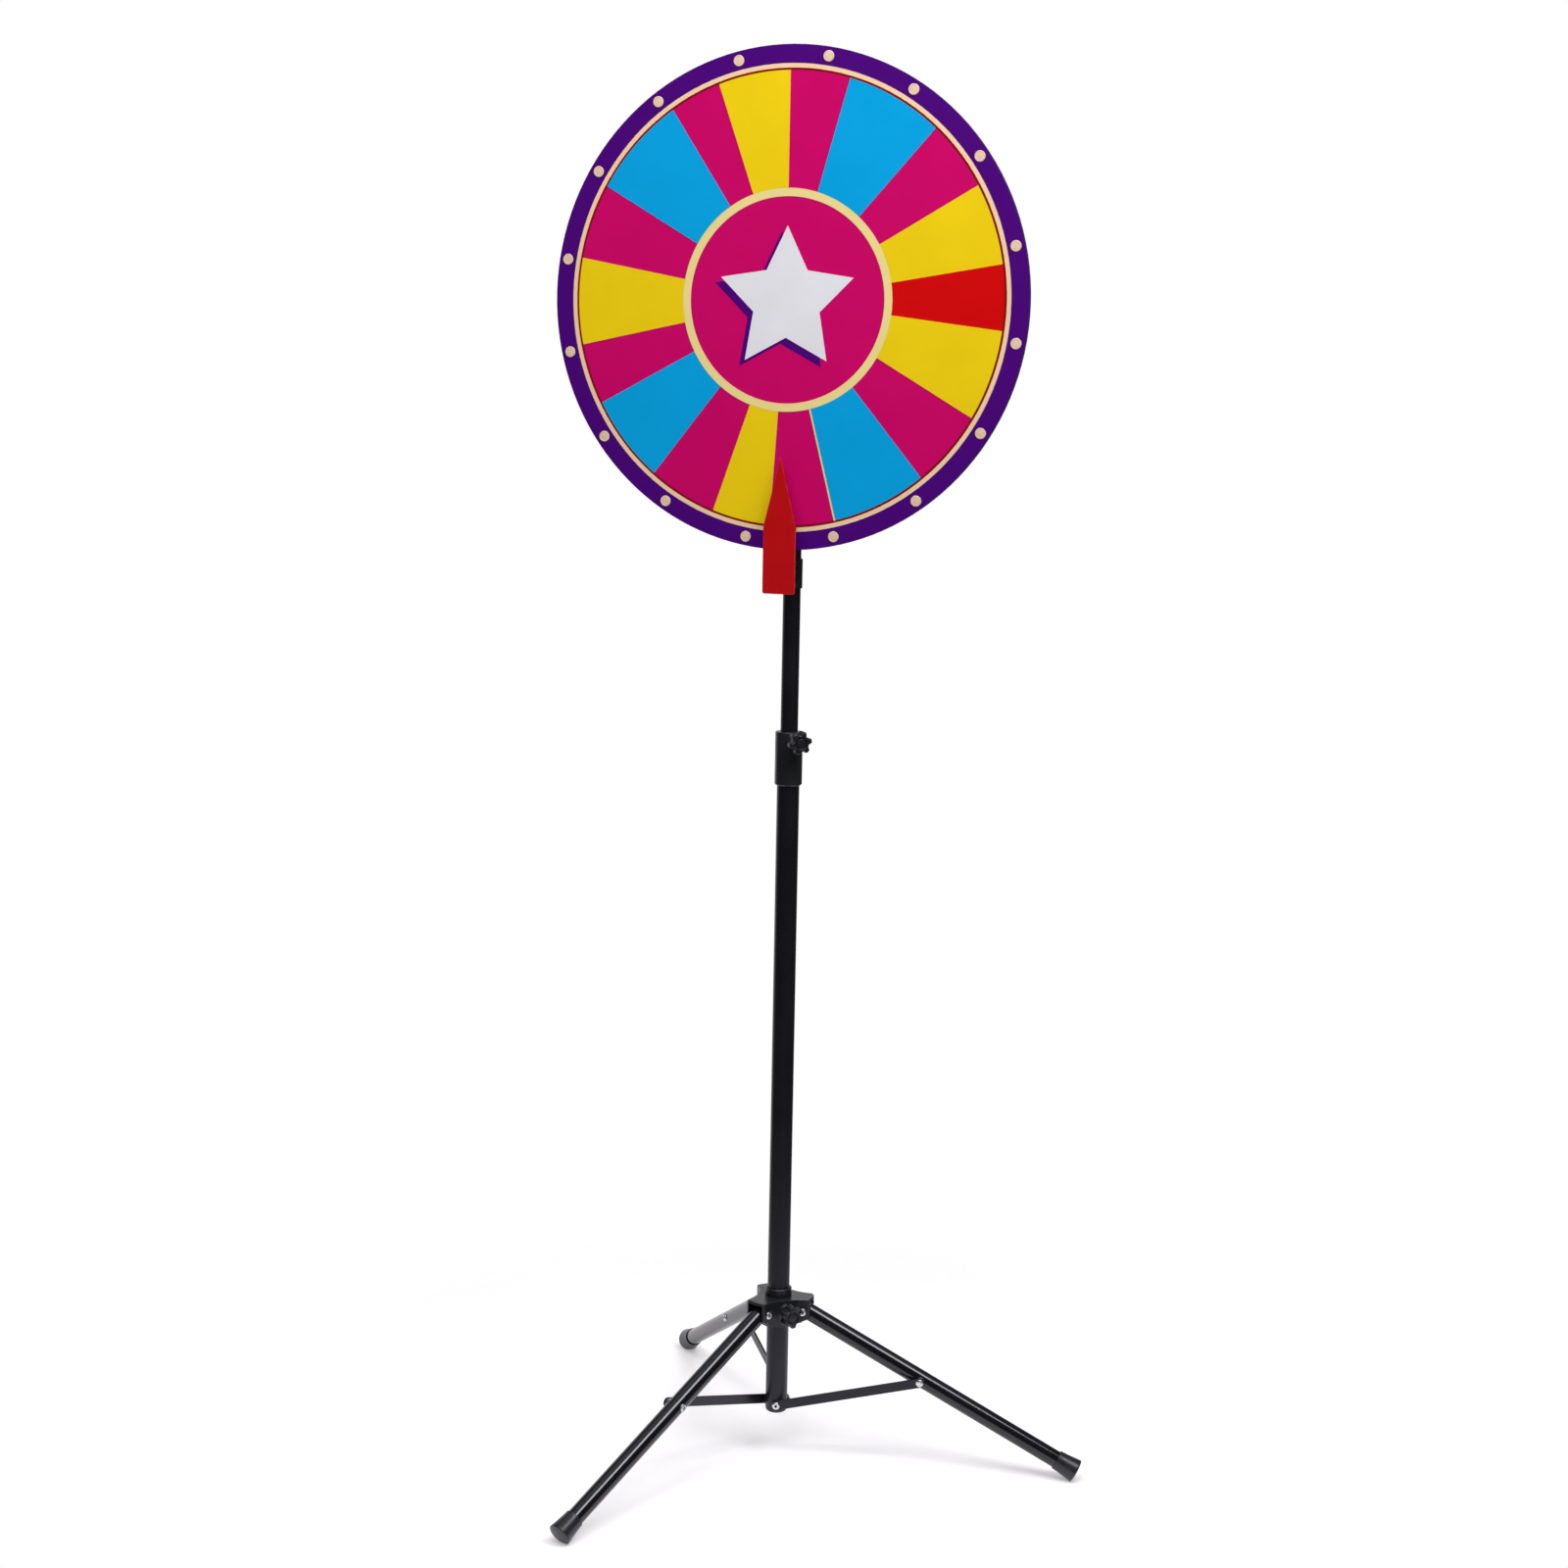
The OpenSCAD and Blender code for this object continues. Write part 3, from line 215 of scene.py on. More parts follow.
def build_fine_texture():
    """Grain of a surface: a height for bump, and a slow tone for colour and gloss."""
    group, given, out = shader_group("fine_texture", ("Vector",), ("Grain", "Patch"), ("Height", "Tone"))
    place = given["Vector"]
    grain_scale = calc(group, "DIVIDE", 1.0, given["Grain"])
    patch_scale = calc(group, "DIVIDE", 1.0, given["Patch"])
    grain = noise(group, place, grain_scale, detail=3.0, roughness=0.6)
    cells = put(group, "ShaderNodeTexVoronoi", {"Vector": place, "Scale": grain_scale}, feature="SMOOTH_F1")
    mixed = calc(group, "MULTIPLY_ADD", cells.outputs["Distance"], CELL_SHARE, grain)
    group.links.new(mixed, out["Height"])
    group.links.new(noise(group, place, patch_scale, detail=5.0, roughness=0.55), out["Tone"])
    return group


def build_scuffs():
    """Fine scratches in loose patches: a mask from 0, untouched, to 1, scratched."""
    group, given, out = shader_group("scuffs", ("Vector", "Stretch"), ("Width", "Amount"), ("Mask",))
    drawn = calc_vector(group, "MULTIPLY", given["Vector"], given["Stretch"])
    lines = noise(group, drawn, calc(group, "DIVIDE", 1.0, given["Width"]), detail=2.0)
    thin = ramp(group, lines, start=0.62, end=0.72)
    spots = ramp(group, noise(group, given["Vector"], scale=14.0, detail=4.0), start=0.48, end=0.68)
    mask = calc(group, "MULTIPLY", calc(group, "MULTIPLY", thin, spots), given["Amount"])
    group.links.new(mask, out["Mask"])
    return group


def build_settled_dust():
    """Pale dust on faces that look up: a mask that is broken up by noise."""
    group, given, out = shader_group("settled_dust", ("Vector", "Normal"), ("Amount",), ("Mask",))
    up = put(group, "ShaderNodeSeparateXYZ", {0: given["Normal"]}).outputs["Z"]
    facing = ramp(group, up, start=0.35, end=1.0)
    motes = noise(group, given["Vector"], scale=260.0, detail=6.0, roughness=0.7)
    broken = ramp(group, motes, start=0.35, end=0.75)
    mask = calc(group, "MULTIPLY", calc(group, "MULTIPLY", facing, broken), given["Amount"])
    group.links.new(mask, out["Mask"])
    return group


fine_texture = build_fine_texture()
scuffs = build_scuffs()
settled_dust = build_settled_dust()


def use(tree, group, **inputs):
    """Places a shader group in a material and gives its outputs."""
    named = {title.title(): value for title, value in inputs.items()}
    return put(tree, "ShaderNodeGroup", named, node_tree=group).outputs


def new_finish(name):
    """Starts a material, and gives it with its tree, its shader and the coordinates of the piece."""
    material = bpy.data.materials.new(name)
    material.use_nodes = True
    tree = material.node_tree
    place = put(tree, "ShaderNodeTexCoord").outputs["Object"]
    return material, tree, tree.nodes["Principled BSDF"], place


def blend_colour(tree, factor, first, second):
    """Mixes two colours by a factor that varies over the surface."""
    return put(tree, "ShaderNodeMix", {"Factor": factor, 6: first, 7: second}, data_type="RGBA").outputs[2]


def span(tree, value, low, high):
    """Spreads a value from 0.3 to 0.7 over a range."""
    limits = {"Value": value, "From Min": 0.3, "From Max": 0.7, "To Min": low, "To Max": high}
    return put(tree, "ShaderNodeMapRange", limits).outputs["Result"]


DUST_COLOUR = "8a8884"


def dust_over(tree, place, colour, amount):
    """Lays pale dust over a colour."""
    normal = put(tree, "ShaderNodeTexCoord").outputs["Normal"]
    mask = use(tree, settled_dust, vector=place, normal=normal, amount=amount)["Mask"]
    return blend_colour(tree, mask, colour, srgb(DUST_COLOUR))


def raise_grain(tree, shader, height, strength, depth):
    """Gives the shader a bump from a height."""
    bump = put(tree, "ShaderNodeBump", {"Height": height, "Strength": strength, "Distance": depth})
    tree.links.new(bump.outputs["Normal"], shader.inputs["Normal"])


COOL_SHEEN = (0.82, 0.82, 1.0, 1.0)
SCRATCH_DULLS = 0.2


def coated_steel(name, gloss, stretch, ior=1.5, sheen=COOL_SHEEN):
    """Black baked coat on steel: slight orange peel, faint scratches along the piece, a little dust."""
    material, tree, shader, place = new_finish(name)
    peel = use(tree, fine_texture, vector=place, grain=0.0016, patch=0.07)
    lines = use(tree, scuffs, vector=place, stretch=stretch, width=0.0007, amount=0.45)["Mask"]
    coat = blend_colour(tree, peel["Tone"], srgb("0a0a0e"), srgb("131319"))
    rubbed = blend_colour(tree, lines, coat, srgb("3c3d41"))
    tree.links.new(dust_over(tree, place, rubbed, amount=0.03), shader.inputs["Base Color"])
    sheen_range = span(tree, peel["Tone"], low=gloss - 0.03, high=gloss + 0.05)
    rough = calc(tree, "MULTIPLY_ADD", lines, SCRATCH_DULLS, sheen_range)
    tree.links.new(rough, shader.inputs["Roughness"])
    shader.inputs["IOR"].default_value = ior
    shader.inputs["Specular Tint"].default_value = sheen
    raise_grain(tree, shader, peel["Height"], strength=0.08, depth=0.0002)
    return material


def dress(material, *nodes):
    """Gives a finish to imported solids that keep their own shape."""
    for node in nodes:
        frame["nodes"][node].material_slots[0].material = material


UPRIGHT_STRETCH = (1.0, 1.0, 0.03)
upright_coat = coated_steel("upright_coat", gloss=0.36, stretch=UPRIGHT_STRETCH)
dress(upright_coat, "main_tube")


# Moulded black pieces of the stand: base cup, height collar and leg spider, of glass-filled nylon.
# The mould leaves a fine grain and softly rounded edges, a little paler: partly rubbed, partly painted
# highlight.

def crossed(form):
    """Middles of the triangles of a form that cross another one."""
    cut = form.copy()
    bmesh.ops.triangulate(cut, faces=cut.faces)
    cut.faces.ensure_lookup_table()
    tree = BVHTree.FromBMesh(cut)
    spots = [cut.faces[i].calc_center_median() for i, j in tree.overlap(tree)
             if not set(cut.faces[i].verts) & set(cut.faces[j].verts)]
    cut.free()
    return spots


def weigh_normals(piece):
    """Keeps broad faces flat in the light and leaves the bending to the narrow rounded strips."""
    modifier = piece.modifiers.new("weigh", "WEIGHTED_NORMAL")
    modifier.keep_sharp = True
    plain = piece.data
    name = plain.name
    evaluated = piece.evaluated_get(bpy.context.evaluated_depsgraph_get())
    piece.data = bpy.data.meshes.new_from_object(evaluated)
    piece.modifiers.clear()
    bpy.data.meshes.remove(plain)
    piece.data.name = name


ROUNDING_TRIES = 10
FLAT_TURN = math.radians(0.6)
CREASE_TURN = math.radians(35.0)


def softened(node, name, material, width, turn=28.0):
    """Copy of a solid's mesh, its outward edges rounded over where they turn by more than some degrees.

    The rounded strips carry the attribute edge_strip. Edges whose strips would cross another face stay
    sharp: the rounding is tried again without them.
    """
    left = set()
    for attempt in range(ROUNDING_TRIES):
        form = bmesh.new()
        form.from_mesh(frame["nodes"][node].data)
        bmesh.ops.remove_doubles(form, verts=form.verts, dist=2e-6)
        bmesh.ops.dissolve_limit(form, angle_limit=FLAT_TURN, verts=form.verts, edges=form.edges)
        form.edges.index_update()
        strip = form.faces.layers.float.new("edge_strip")
        sharp = [e for e in form.edges if e.index not in left and e.is_convex
                 and e.calc_face_angle() > math.radians(turn)]
        ends = {e.index: [v.co.copy() for v in e.verts] for e in sharp}
        made = bmesh.ops.bevel(form, geom=sharp, offset=width, offset_type="OFFSET", segments=3,
                               profile=0.5, affect="EDGES", clamp_overlap=False, loop_slide=True)
        spots = crossed(form)
        if not spots or attempt == ROUNDING_TRIES - 1:
            break
        form.free()
        finder = KDTree(len(spots))
        for i, spot in enumerate(spots):
            finder.insert(spot, i)
        finder.balance()
        for index, (first, last) in ends.items():
            if min(finder.find(at)[2] for at in (first, (first + last) / 2, last)) < 2 * width:
                left.add(index)
    for face in form.faces:
        face.smooth = True
    for face in made["faces"]:
        face[strip] = 1.0
    mesh = bpy.data.meshes.new(name)
    form.to_mesh(mesh)
    form.free()
    mesh.set_sharp_from_angle(angle=CREASE_TURN)
    piece = add_object(name, mesh)
    weigh_normals(piece)
    piece.data.materials.append(material)
    return piece


def fit(piece, body, node):
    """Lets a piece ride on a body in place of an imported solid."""
    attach(piece, body)
    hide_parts(node)


def build_edge_rub_and_highlight():
    """Edges that hands and transport rub bright, with a painted highlight: a mask on the rounded strips,
    broken up by noise.
    """
    group, given, out = shader_group("edge_rub_and_highlight", ("Vector",), ("Strip", "Amount"), ("Mask",))
    broken = ramp(group, noise(group, given["Vector"], scale=120.0, detail=5.0), start=0.38, end=0.66)
    mask = calc(group, "MULTIPLY", calc(group, "MULTIPLY", given["Strip"], broken), given["Amount"])
    group.links.new(mask, out["Mask"])
    return group


edge_rub_and_highlight = build_edge_rub_and_highlight()


def rubbed_and_highlit_edges(tree, place, amount):
    """Mask of the rounded strips that are rubbed and carry a painted highlight."""
    strip = put(tree, "ShaderNodeAttribute", attribute_name="edge_strip").outputs["Fac"]
    return use(tree, edge_rub_and_highlight, vector=place, strip=strip, amount=amount)["Mask"]


RUB_POLISHES = -0.06


def moulded_plastic(name, dark, pale, gloss, grain):
    """Moulded black plastic: fine grain, uneven gloss, paler edges of rub and painted highlight, dust on
    top.
    """
    material, tree, shader, place = new_finish(name)
    skin = use(tree, fine_texture, vector=place, grain=grain, patch=0.03)
    rub_and_highlight = rubbed_and_highlit_edges(tree, place, amount=0.25)
    body = blend_colour(tree, skin["Tone"], srgb(dark), srgb(pale))
    # Paler edges: partly rub from use, partly painted highlight.
    worn_and_highlit = blend_colour(tree, rub_and_highlight, body, srgb("3e3f43"))
    tree.links.new(dust_over(tree, place, worn_and_highlit, amount=0.06), shader.inputs["Base Color"])
    uneven = span(tree, skin["Tone"], low=gloss - 0.05, high=gloss + 0.07)
    tree.links.new(calc(tree, "MULTIPLY_ADD", rub_and_highlight, RUB_POLISHES, uneven), shader.inputs["Roughness"])
    shader.inputs["Specular Tint"].default_value = COOL_SHEEN
    raise_grain(tree, shader, skin["Height"], strength=0.2, depth=0.0002)
    return material


stand_nylon = moulded_plastic("stand_nylon", "17181a", "222325", gloss=0.32, grain=0.0008)
MOULDINGS = (("base_cup", "stand", 0.0004), ("height_collar", "stand", 0.0003),
             ("leg_spider", "spider", 0.0005))
for node, body, width in MOULDINGS:
    fit(softened(node, node + "_moulding", stand_nylon, width), body, node)


# Inserts that the clamping screws turn in: plain brass rings, pressed into the mouldings.
# The brass has a fine tooling grain, and patches that the air has turned slightly brown.

def bare_metal(name, bright, dull, gloss, grain=0.0005):
    """Bare or plated metal: fine tooling grain and duller patches, with painted shade, a near-black colour,
    where a hollow is marked.
    """
    material, tree, shader, place = new_finish(name)
    skin = use(tree, fine_texture, vector=place, grain=grain, patch=0.012)
    face = blend_colour(tree, span(tree, skin["Tone"], 0.0, 1.0), srgb(bright), srgb(dull))
    hollow = put(tree, "ShaderNodeAttribute", attribute_name="hollow").outputs["Fac"]
    # Painted shade: the marked hollow of a rivet head is coloured near black.
    tree.links.new(blend_colour(tree, hollow, face, srgb("1a1a1c")), shader.inputs["Base Color"])
    uneven = span(tree, skin["Tone"], low=gloss - 0.08, high=gloss + 0.12)
    tree.links.new(uneven, shader.inputs["Roughness"])
    shader.inputs["Metallic"].default_value = 1.0
    raise_grain(tree, shader, skin["Height"], strength=0.10, depth=0.0001)
    return material


insert_brass = bare_metal("insert_brass", "cfae63", "a5853f", gloss=0.32)
dress(insert_brass, "collar_insert", "spider_insert")


# Legs: three steel tubes with the same black coat, polished smoother, so that they mirror a lamp as a line.
# Their upper ends swing in the spider and their lower ends sit in the feet.

LEG_SIDES = ("right", "rear", "left")
LEG_SHEEN = (0.9, 0.9, 1.0, 1.0)
LEG_STRETCH = (0.25, 0.25, 0.25)
leg_coat = coated_steel("leg_coat", gloss=0.12, stretch=LEG_STRETCH, ior=1.58, sheen=LEG_SHEEN)
dress(leg_coat, *(side + "_leg_tube" for side in LEG_SIDES))


# Feet: moulded rubber boots pushed over the leg tubes, flared towards the floor, with a rolled upper lip.
# Each has a flat where it bears on the floor, and a paler bloom and dust near it.

FOOT_START = 0.37825
FOOT_BORE = 0.01113
FOOT_SEAT = 0.023
FOOT_SIDES = 64
FOOT_CREASE = math.radians(40.0)
FOOT_PROFILE = ((0.0, FOOT_SEAT), (FOOT_BORE, FOOT_SEAT), (FOOT_BORE, 0.0), (0.0121, 0.0), (0.01255, 0.0003),
                (0.0127, 0.0009), (0.01268, 0.0022), (0.01258, 0.0030), (0.01272, 0.0042), (0.0131, 0.0085),
                (0.0137, 0.0150), (0.01445, 0.0215), (0.0150, 0.0258), (0.01525, 0.0276), (0.0152, 0.0284),
                (0.0148, 0.0289), (0.0138, 0.0292), (0.0110, 0.0298), (0.0070, 0.0303), (0.0, 0.0306))


joints = {joint["name"]: joint for joint in frame["joints"]}


def at_hinge(name):
    """Frame at a hinge with a level axis: its origin on the pivot, Y along the axis, Z up."""
    x, y = joints[name]["axis"][:2]
    return Matrix.Translation(joints[name]["pos_m"]) @ Matrix.Rotation(math.atan2(-x, y), 4, "Z")


def along_leg(side):
    """Frame of an open leg, which folds until it hangs: Z runs down the leg, Y to the leg's left."""
    fold = side + "_leg_fold"
    lean = math.radians(180.0 - joints[fold]["range_deg"][1])
    return at_hinge(fold) @ Matrix.Rotation(lean, 4, "Y")


def turned(profile, sides):
    """Closed turned form about Z from a list of radius and height, first and last on the axis."""
    form = bmesh.new()
    turns = [i * math.tau / sides for i in range(sides)]
    rings = []
    for radius, height in profile:
        if radius == 0.0:
            rings.append([form.verts.new((0.0, 0.0, height))])
        else:
            rings.append([form.verts.new((radius * math.cos(turn), radius * math.sin(turn), height))
                          for turn in turns])
    for lower, upper in zip(rings, rings[1:]):
        for i in range(sides):
            corners = [lower[i % len(lower)], lower[(i + 1) % sides % len(lower)],
                       upper[(i + 1) % sides % len(upper)], upper[i % len(upper)]]
            form.faces.new(list(dict.fromkeys(corners)))
    bmesh.ops.recalc_face_normals(form, faces=form.faces)
    for face in form.faces:
        face.smooth = True
    return form


DUST_TOP = 0.016
BLOOM_SHARE = 0.3


def boot_rubber():
    """Black rubber: soft sheen, grey bloom, dust where it meets the floor."""
    material, tree, shader, place = new_finish("boot_rubber")
    skin = use(tree, fine_texture, vector=place, grain=0.0011, patch=0.012)
    low = ramp(tree, put(tree, "ShaderNodeSeparateXYZ", {0: place}).outputs["Z"], DUST_TOP, 0.0)
    bloom = calc(tree, "MULTIPLY", span(tree, skin["Tone"], 0.0, 1.0), BLOOM_SHARE)
    dusty = calc(tree, "MULTIPLY", low, span(tree, skin["Tone"], low=0.05, high=0.35))
    body = blend_colour(tree, bloom, srgb("1a1a23"), srgb("2f2f3a"))
    tree.links.new(blend_colour(tree, dusty, body, srgb("6f6f76")), shader.inputs["Base Color"])
    tree.links.new(span(tree, skin["Tone"], low=0.28, high=0.4), shader.inputs["Roughness"])
    raise_grain(tree, shader, skin["Height"], strength=0.2, depth=0.0002)
    return material


rubber = boot_rubber()
for side in LEG_SIDES:
    boot = turned(FOOT_PROFILE, FOOT_SIDES)
    on_leg = along_leg(side) @ Matrix.Translation((0.0, 0.0, FOOT_START))
    bmesh.ops.transform(boot, matrix=on_leg, verts=boot.verts)
    bmesh.ops.bisect_plane(boot, geom=boot.verts[:] + boot.edges[:] + boot.faces[:], plane_co=(0, 0, 0),
                           plane_no=(0, 0, -1), clear_outer=True)
    bmesh.ops.holes_fill(boot, edges=[e for e in boot.edges if e.is_boundary])
    bmesh.ops.recalc_face_normals(boot, faces=boot.faces)
    boot_mesh = bpy.data.meshes.new(side + "_boot")
    boot.to_mesh(boot_mesh)
    boot.free()
    boot_mesh.set_sharp_from_angle(angle=FOOT_CREASE)
    boot_mesh.materials.append(rubber)
    fit(add_object(side + "_boot", boot_mesh), side + "_leg", side + "_leg_foot")


# Braces: flat steel strips with rounded ends and broken edges, coated black.
# Each swings between the base cup and the middle of a leg.

BRACE_STRETCH = (0.4, 0.4, 0.4)
brace_coat = coated_steel("brace_coat", gloss=0.34, stretch=BRACE_STRETCH)
for side in LEG_SIDES:
    bar = side + "_brace_bar"
    fit(softened(bar, side + "_brace_strip", brace_coat, width=0.0004), side + "_brace", bar)


# Rivets and pins: steel, zinc plated. The pins in the spider and the rivets in the base cup are tubular,
# with a rolled head round a hollow painted dark as shade; the rivets that hold the braces on the legs have a
# domed head.

def geometry_tree(name, *numbers):
    """Starts a Geometry Nodes tree that takes numbers and a material, with its inner inputs and outputs."""
    tree = bpy.data.node_groups.new(name, "GeometryNodeTree")
    tree.is_modifier = True
    rows = [("Geometry", "INPUT", "NodeSocketGeometry")]
    rows += [(title, "INPUT", "NodeSocketFloat") for title in numbers]
    rows += [("Material", "INPUT", "NodeSocketMaterial"), ("Geometry", "OUTPUT", "NodeSocketGeometry")]
    for title, way, kind in rows:
        tree.interface.new_socket(name=title, in_out=way, socket_type=kind)
    return tree, tree.nodes.new("NodeGroupInput").outputs, tree.nodes.new("NodeGroupOutput").inputs


STEPS_BETWEEN = 4


def turn_profile(tree, radius, height, profile, sides, lobes=None):
    """Turned form in nodes: a grid bent round Z, whose radius and height follow the profile's points."""
    steps = STEPS_BETWEEN * (len(profile) - 1) + 1
    grid = put(tree, "GeometryNodeMeshGrid",
               {"Size X": 1.0, "Size Y": 1.0, "Vertices X": sides + 1, "Vertices Y": steps})
    spot = put(tree, "ShaderNodeSeparateXYZ", {0: put(tree, "GeometryNodeInputPosition").outputs[0]})
    angle = calc(tree, "MULTIPLY", calc(tree, "ADD", spot.outputs["X"], 0.5), math.tau)
    along = calc(tree, "ADD", spot.outputs["Y"], 0.5)
    shape = []
    for column in (0, 1):
        curve = put(tree, "ShaderNodeFloatCurve", {"Value": along})
        line = curve.mapping.curves[0]
        for i, point in enumerate(profile):
            at = i / (len(profile) - 1)
            if i < 2:
                line.points[i].location = (at, point[column])
            else:
                line.points.new(at, point[column])
        for point in line.points:
            point.handle_type = "VECTOR"
        curve.mapping.update()
        shape.append(curve.outputs[0])
    out_by = calc(tree, "MULTIPLY", radius, shape[0])
    if lobes is not None:
        out_by = lobes(angle, out_by)
    across = calc(tree, "MULTIPLY", out_by, calc(tree, "COSINE", angle))
    forth = calc(tree, "MULTIPLY", out_by, calc(tree, "SINE", angle))
    rise = calc(tree, "MULTIPLY", height, shape[1])
    bent = put(tree, "ShaderNodeCombineXYZ", {"X": across, "Y": forth, "Z": rise}).outputs[0]
    moved = put(tree, "GeometryNodeSetPosition", {"Geometry": grid.outputs["Mesh"], "Position": bent})
    closed = put(tree, "GeometryNodeMergeByDistance", {"Geometry": moved.outputs[0], "Distance": 1e-6})
    return closed.outputs[0]


def finish_tree(tree, out, geometry, material):
    """Ends a tree: real geometry, smooth shading, and its material."""
    real = put(tree, "GeometryNodeRealizeInstances", {"Geometry": geometry})
    smooth = put(tree, "GeometryNodeSetShadeSmooth", {0: real.outputs[0], "Shade Smooth": True})
    painted = put(tree, "GeometryNodeSetMaterial", {"Geometry": smooth.outputs[0], "Material": material})
    tree.links.new(painted.outputs[0], out["Geometry"])


def grow(name, base, tree, settings, crease):
    """Runs a tree on a base mesh and gives a plain piece, sharp at edges past a crease in degrees."""
    seed = add_object(name + "_seed", base)
    modifier = seed.modifiers.new("grow", "NODES")
    modifier.node_group = tree
    for item in tree.interface.items_tree:
        if item.in_out == "INPUT" and item.name in settings:
            modifier[item.identifier] = settings[item.name]
    mesh = bpy.data.meshes.new_from_object(seed.evaluated_get(bpy.context.evaluated_depsgraph_get()))
    mesh.name = name
    bpy.data.objects.remove(seed)
    mesh.set_sharp_from_angle(angle=math.radians(crease))
    return add_object(name, mesh)


def seats(name, places):
    """Base mesh of loose points, each with the direction that its fastener looks in."""
    mesh = bpy.data.meshes.new(name)
    mesh.from_pydata([at for at, way in places], [], [])
    ways = mesh.attributes.new("way", "FLOAT_VECTOR", "POINT")
    ways.data.foreach_set("vector", [c for at, way in places for c in way])
    return mesh


def on_seats(tree, points, form, level=False):
    """Sets a form on each point, turned to the point's way; a level one has its X axis straight down."""
    way = put(tree, "GeometryNodeInputNamedAttribute", {"Name": "way"}, data_type="FLOAT_VECTOR")
    turn = put(tree, "FunctionNodeAlignRotationToVector", {"Vector": way.outputs["Attribute"]}, axis="Z")
    if level:
        turn = put(tree, "FunctionNodeAlignRotationToVector",
                   {"Rotation": turn.outputs[0], "Vector": (0.0, 0.0, -1.0)}, axis="X", pivot_axis="Z")
    return put(tree, "GeometryNodeInstanceOnPoints",
               {"Points": points, "Instance": form, "Rotation": turn.outputs[0]}).outputs[0]


ROLLED_PROFILE = ((0.0, 0.0), (0.97, 0.0), (1.0, 0.06), (1.0, 0.34), (0.98, 0.55), (0.92, 0.75),
                  (0.82, 0.90), (0.68, 0.98), (0.54, 1.0), (0.42, 0.985), (0.355, 0.93), (0.315, 0.80),
                  (0.295, 0.55), (0.285, 0.08), (0.22, 0.04), (0.0, 0.04))
DOMED_PROFILE = ((0.0, 0.0), (0.97, 0.0), (1.0, 0.05), (1.0, 0.22), (0.97, 0.40), (0.90, 0.58),
                 (0.79, 0.74), (0.64, 0.87), (0.46, 0.95), (0.24, 0.99), (0.0, 1.0))
RIVET_SIDES = 40
SHANK_SIDES = 32
SHANK_SINK = -0.499
HOLE_BLUR = 0.03


def build_rivets(name, profile, hole):
    """Rivets on seats: a turned head, hollow and marked for painted shade inside a share of its radius, and
    a shank.
    """
    tree, given, out = geometry_tree(name, "Head Radius", "Head Height", "Shank Radius", "Shank Length")
    head = turn_profile(tree, given["Head Radius"], given["Head Height"], profile, RIVET_SIDES)
    # Painted shade: the head's middle, inside the given share of its radius, is marked to be coloured dark.
    if hole:
        spot = put(tree, "GeometryNodeInputPosition").outputs[0]
        off_axis = calc_vector(tree, "LENGTH", calc_vector(tree, "MULTIPLY", spot, (1.0, 1.0, 0.0)))
        share = calc(tree, "DIVIDE", off_axis, given["Head Radius"])
        inside = ramp(tree, share, hole + HOLE_BLUR, hole)
        mark = {"Geometry": head, "Name": "hollow", "Value": inside}
        marked = put(tree, "GeometryNodeStoreNamedAttribute", mark, data_type="FLOAT", domain="POINT")
        head = marked.outputs[0]
    length = given["Shank Length"]
    shank = put(tree, "GeometryNodeMeshCylinder",
                {"Vertices": SHANK_SIDES, "Radius": given["Shank Radius"], "Depth": length})
    sink = put(tree, "ShaderNodeCombineXYZ", {"Z": calc(tree, "MULTIPLY", length, SHANK_SINK)})
    sunk = put(tree, "GeometryNodeTransform",
               {"Geometry": shank.outputs["Mesh"], "Translation": sink.outputs[0]})
    rivet = put(tree, "GeometryNodeJoinGeometry")
    for part in (sunk.outputs[0], head):
        tree.links.new(part, rivet.inputs[0])
    finish_tree(tree, out, on_seats(tree, given["Geometry"], rivet.outputs[0]), given["Material"])
    return tree


HEAD_RADIUS = 0.005
HEAD_HEIGHT = 0.002
PIN_RADIUS = 0.003
RIVET_RADIUS = 0.0025
RIVET_CREASE = 50.0
ARM_HALF = 0.0146
BRACE_AT = 0.1768
BRACE_THICK = 0.0025
LEG_RADIUS = 0.0111
BRACE_OUT = 0.01715
BRACE_GAP = 0.0002
BASE_SHANK = 0.0114
rolled_rivets = build_rivets("rolled_rivets", ROLLED_PROFILE, hole=0.3)
domed_rivets = build_rivets("domed_rivets", DOMED_PROFILE, hole=None)
rivet_zinc = bare_metal("rivet_zinc", "e6e8eb", "cdd0d5", gloss=0.3)


def seat(frame_of, at, way):
    """A fastener's place and direction, from a local frame."""
    return (frame_of @ Vector(at), frame_of.to_3x3() @ Vector(way))


pin_seats = []
base_seats = []
rivet_sets = [("leg_pins", "spider", pin_seats, PIN_RADIUS, ARM_HALF, rolled_rivets),
              ("base_rivets", "stand", base_seats, RIVET_RADIUS, BASE_SHANK, rolled_rivets)]
for side in LEG_SIDES:
    for way in (-1, 1):
        pin_seats.append(seat(at_hinge(side + "_leg_fold"), (0, way * ARM_HALF, 0), (0, way, 0)))
    base_seats.append(seat(at_hinge(side + "_brace_fold"), (0, BRACE_OUT + BRACE_GAP, 0), (0, 1, 0)))
    brace_seats = [seat(along_leg(side), (0, -BRACE_OUT, BRACE_AT), (0, -1, 0))]
    rivet_sets.append((side + "_brace_rivet", side + "_brace", brace_seats, RIVET_RADIUS, BRACE_THICK,
                       domed_rivets))
for node, body, places, shank_radius, shank_length, rivets in rivet_sets:
    piece = grow(node + "_turned", seats(node + "_seats", places), rivets,
                 {"Head Radius": HEAD_RADIUS, "Head Height": HEAD_HEIGHT, "Shank Radius": shank_radius,
                  "Shank Length": shank_length, "Material": rivet_zinc}, RIVET_CREASE)
    fit(piece, body, node)


# Far ends of the brace rivets: each goes through its leg with a spacer.
# Its head is rolled over on the side of the leg away from the brace.

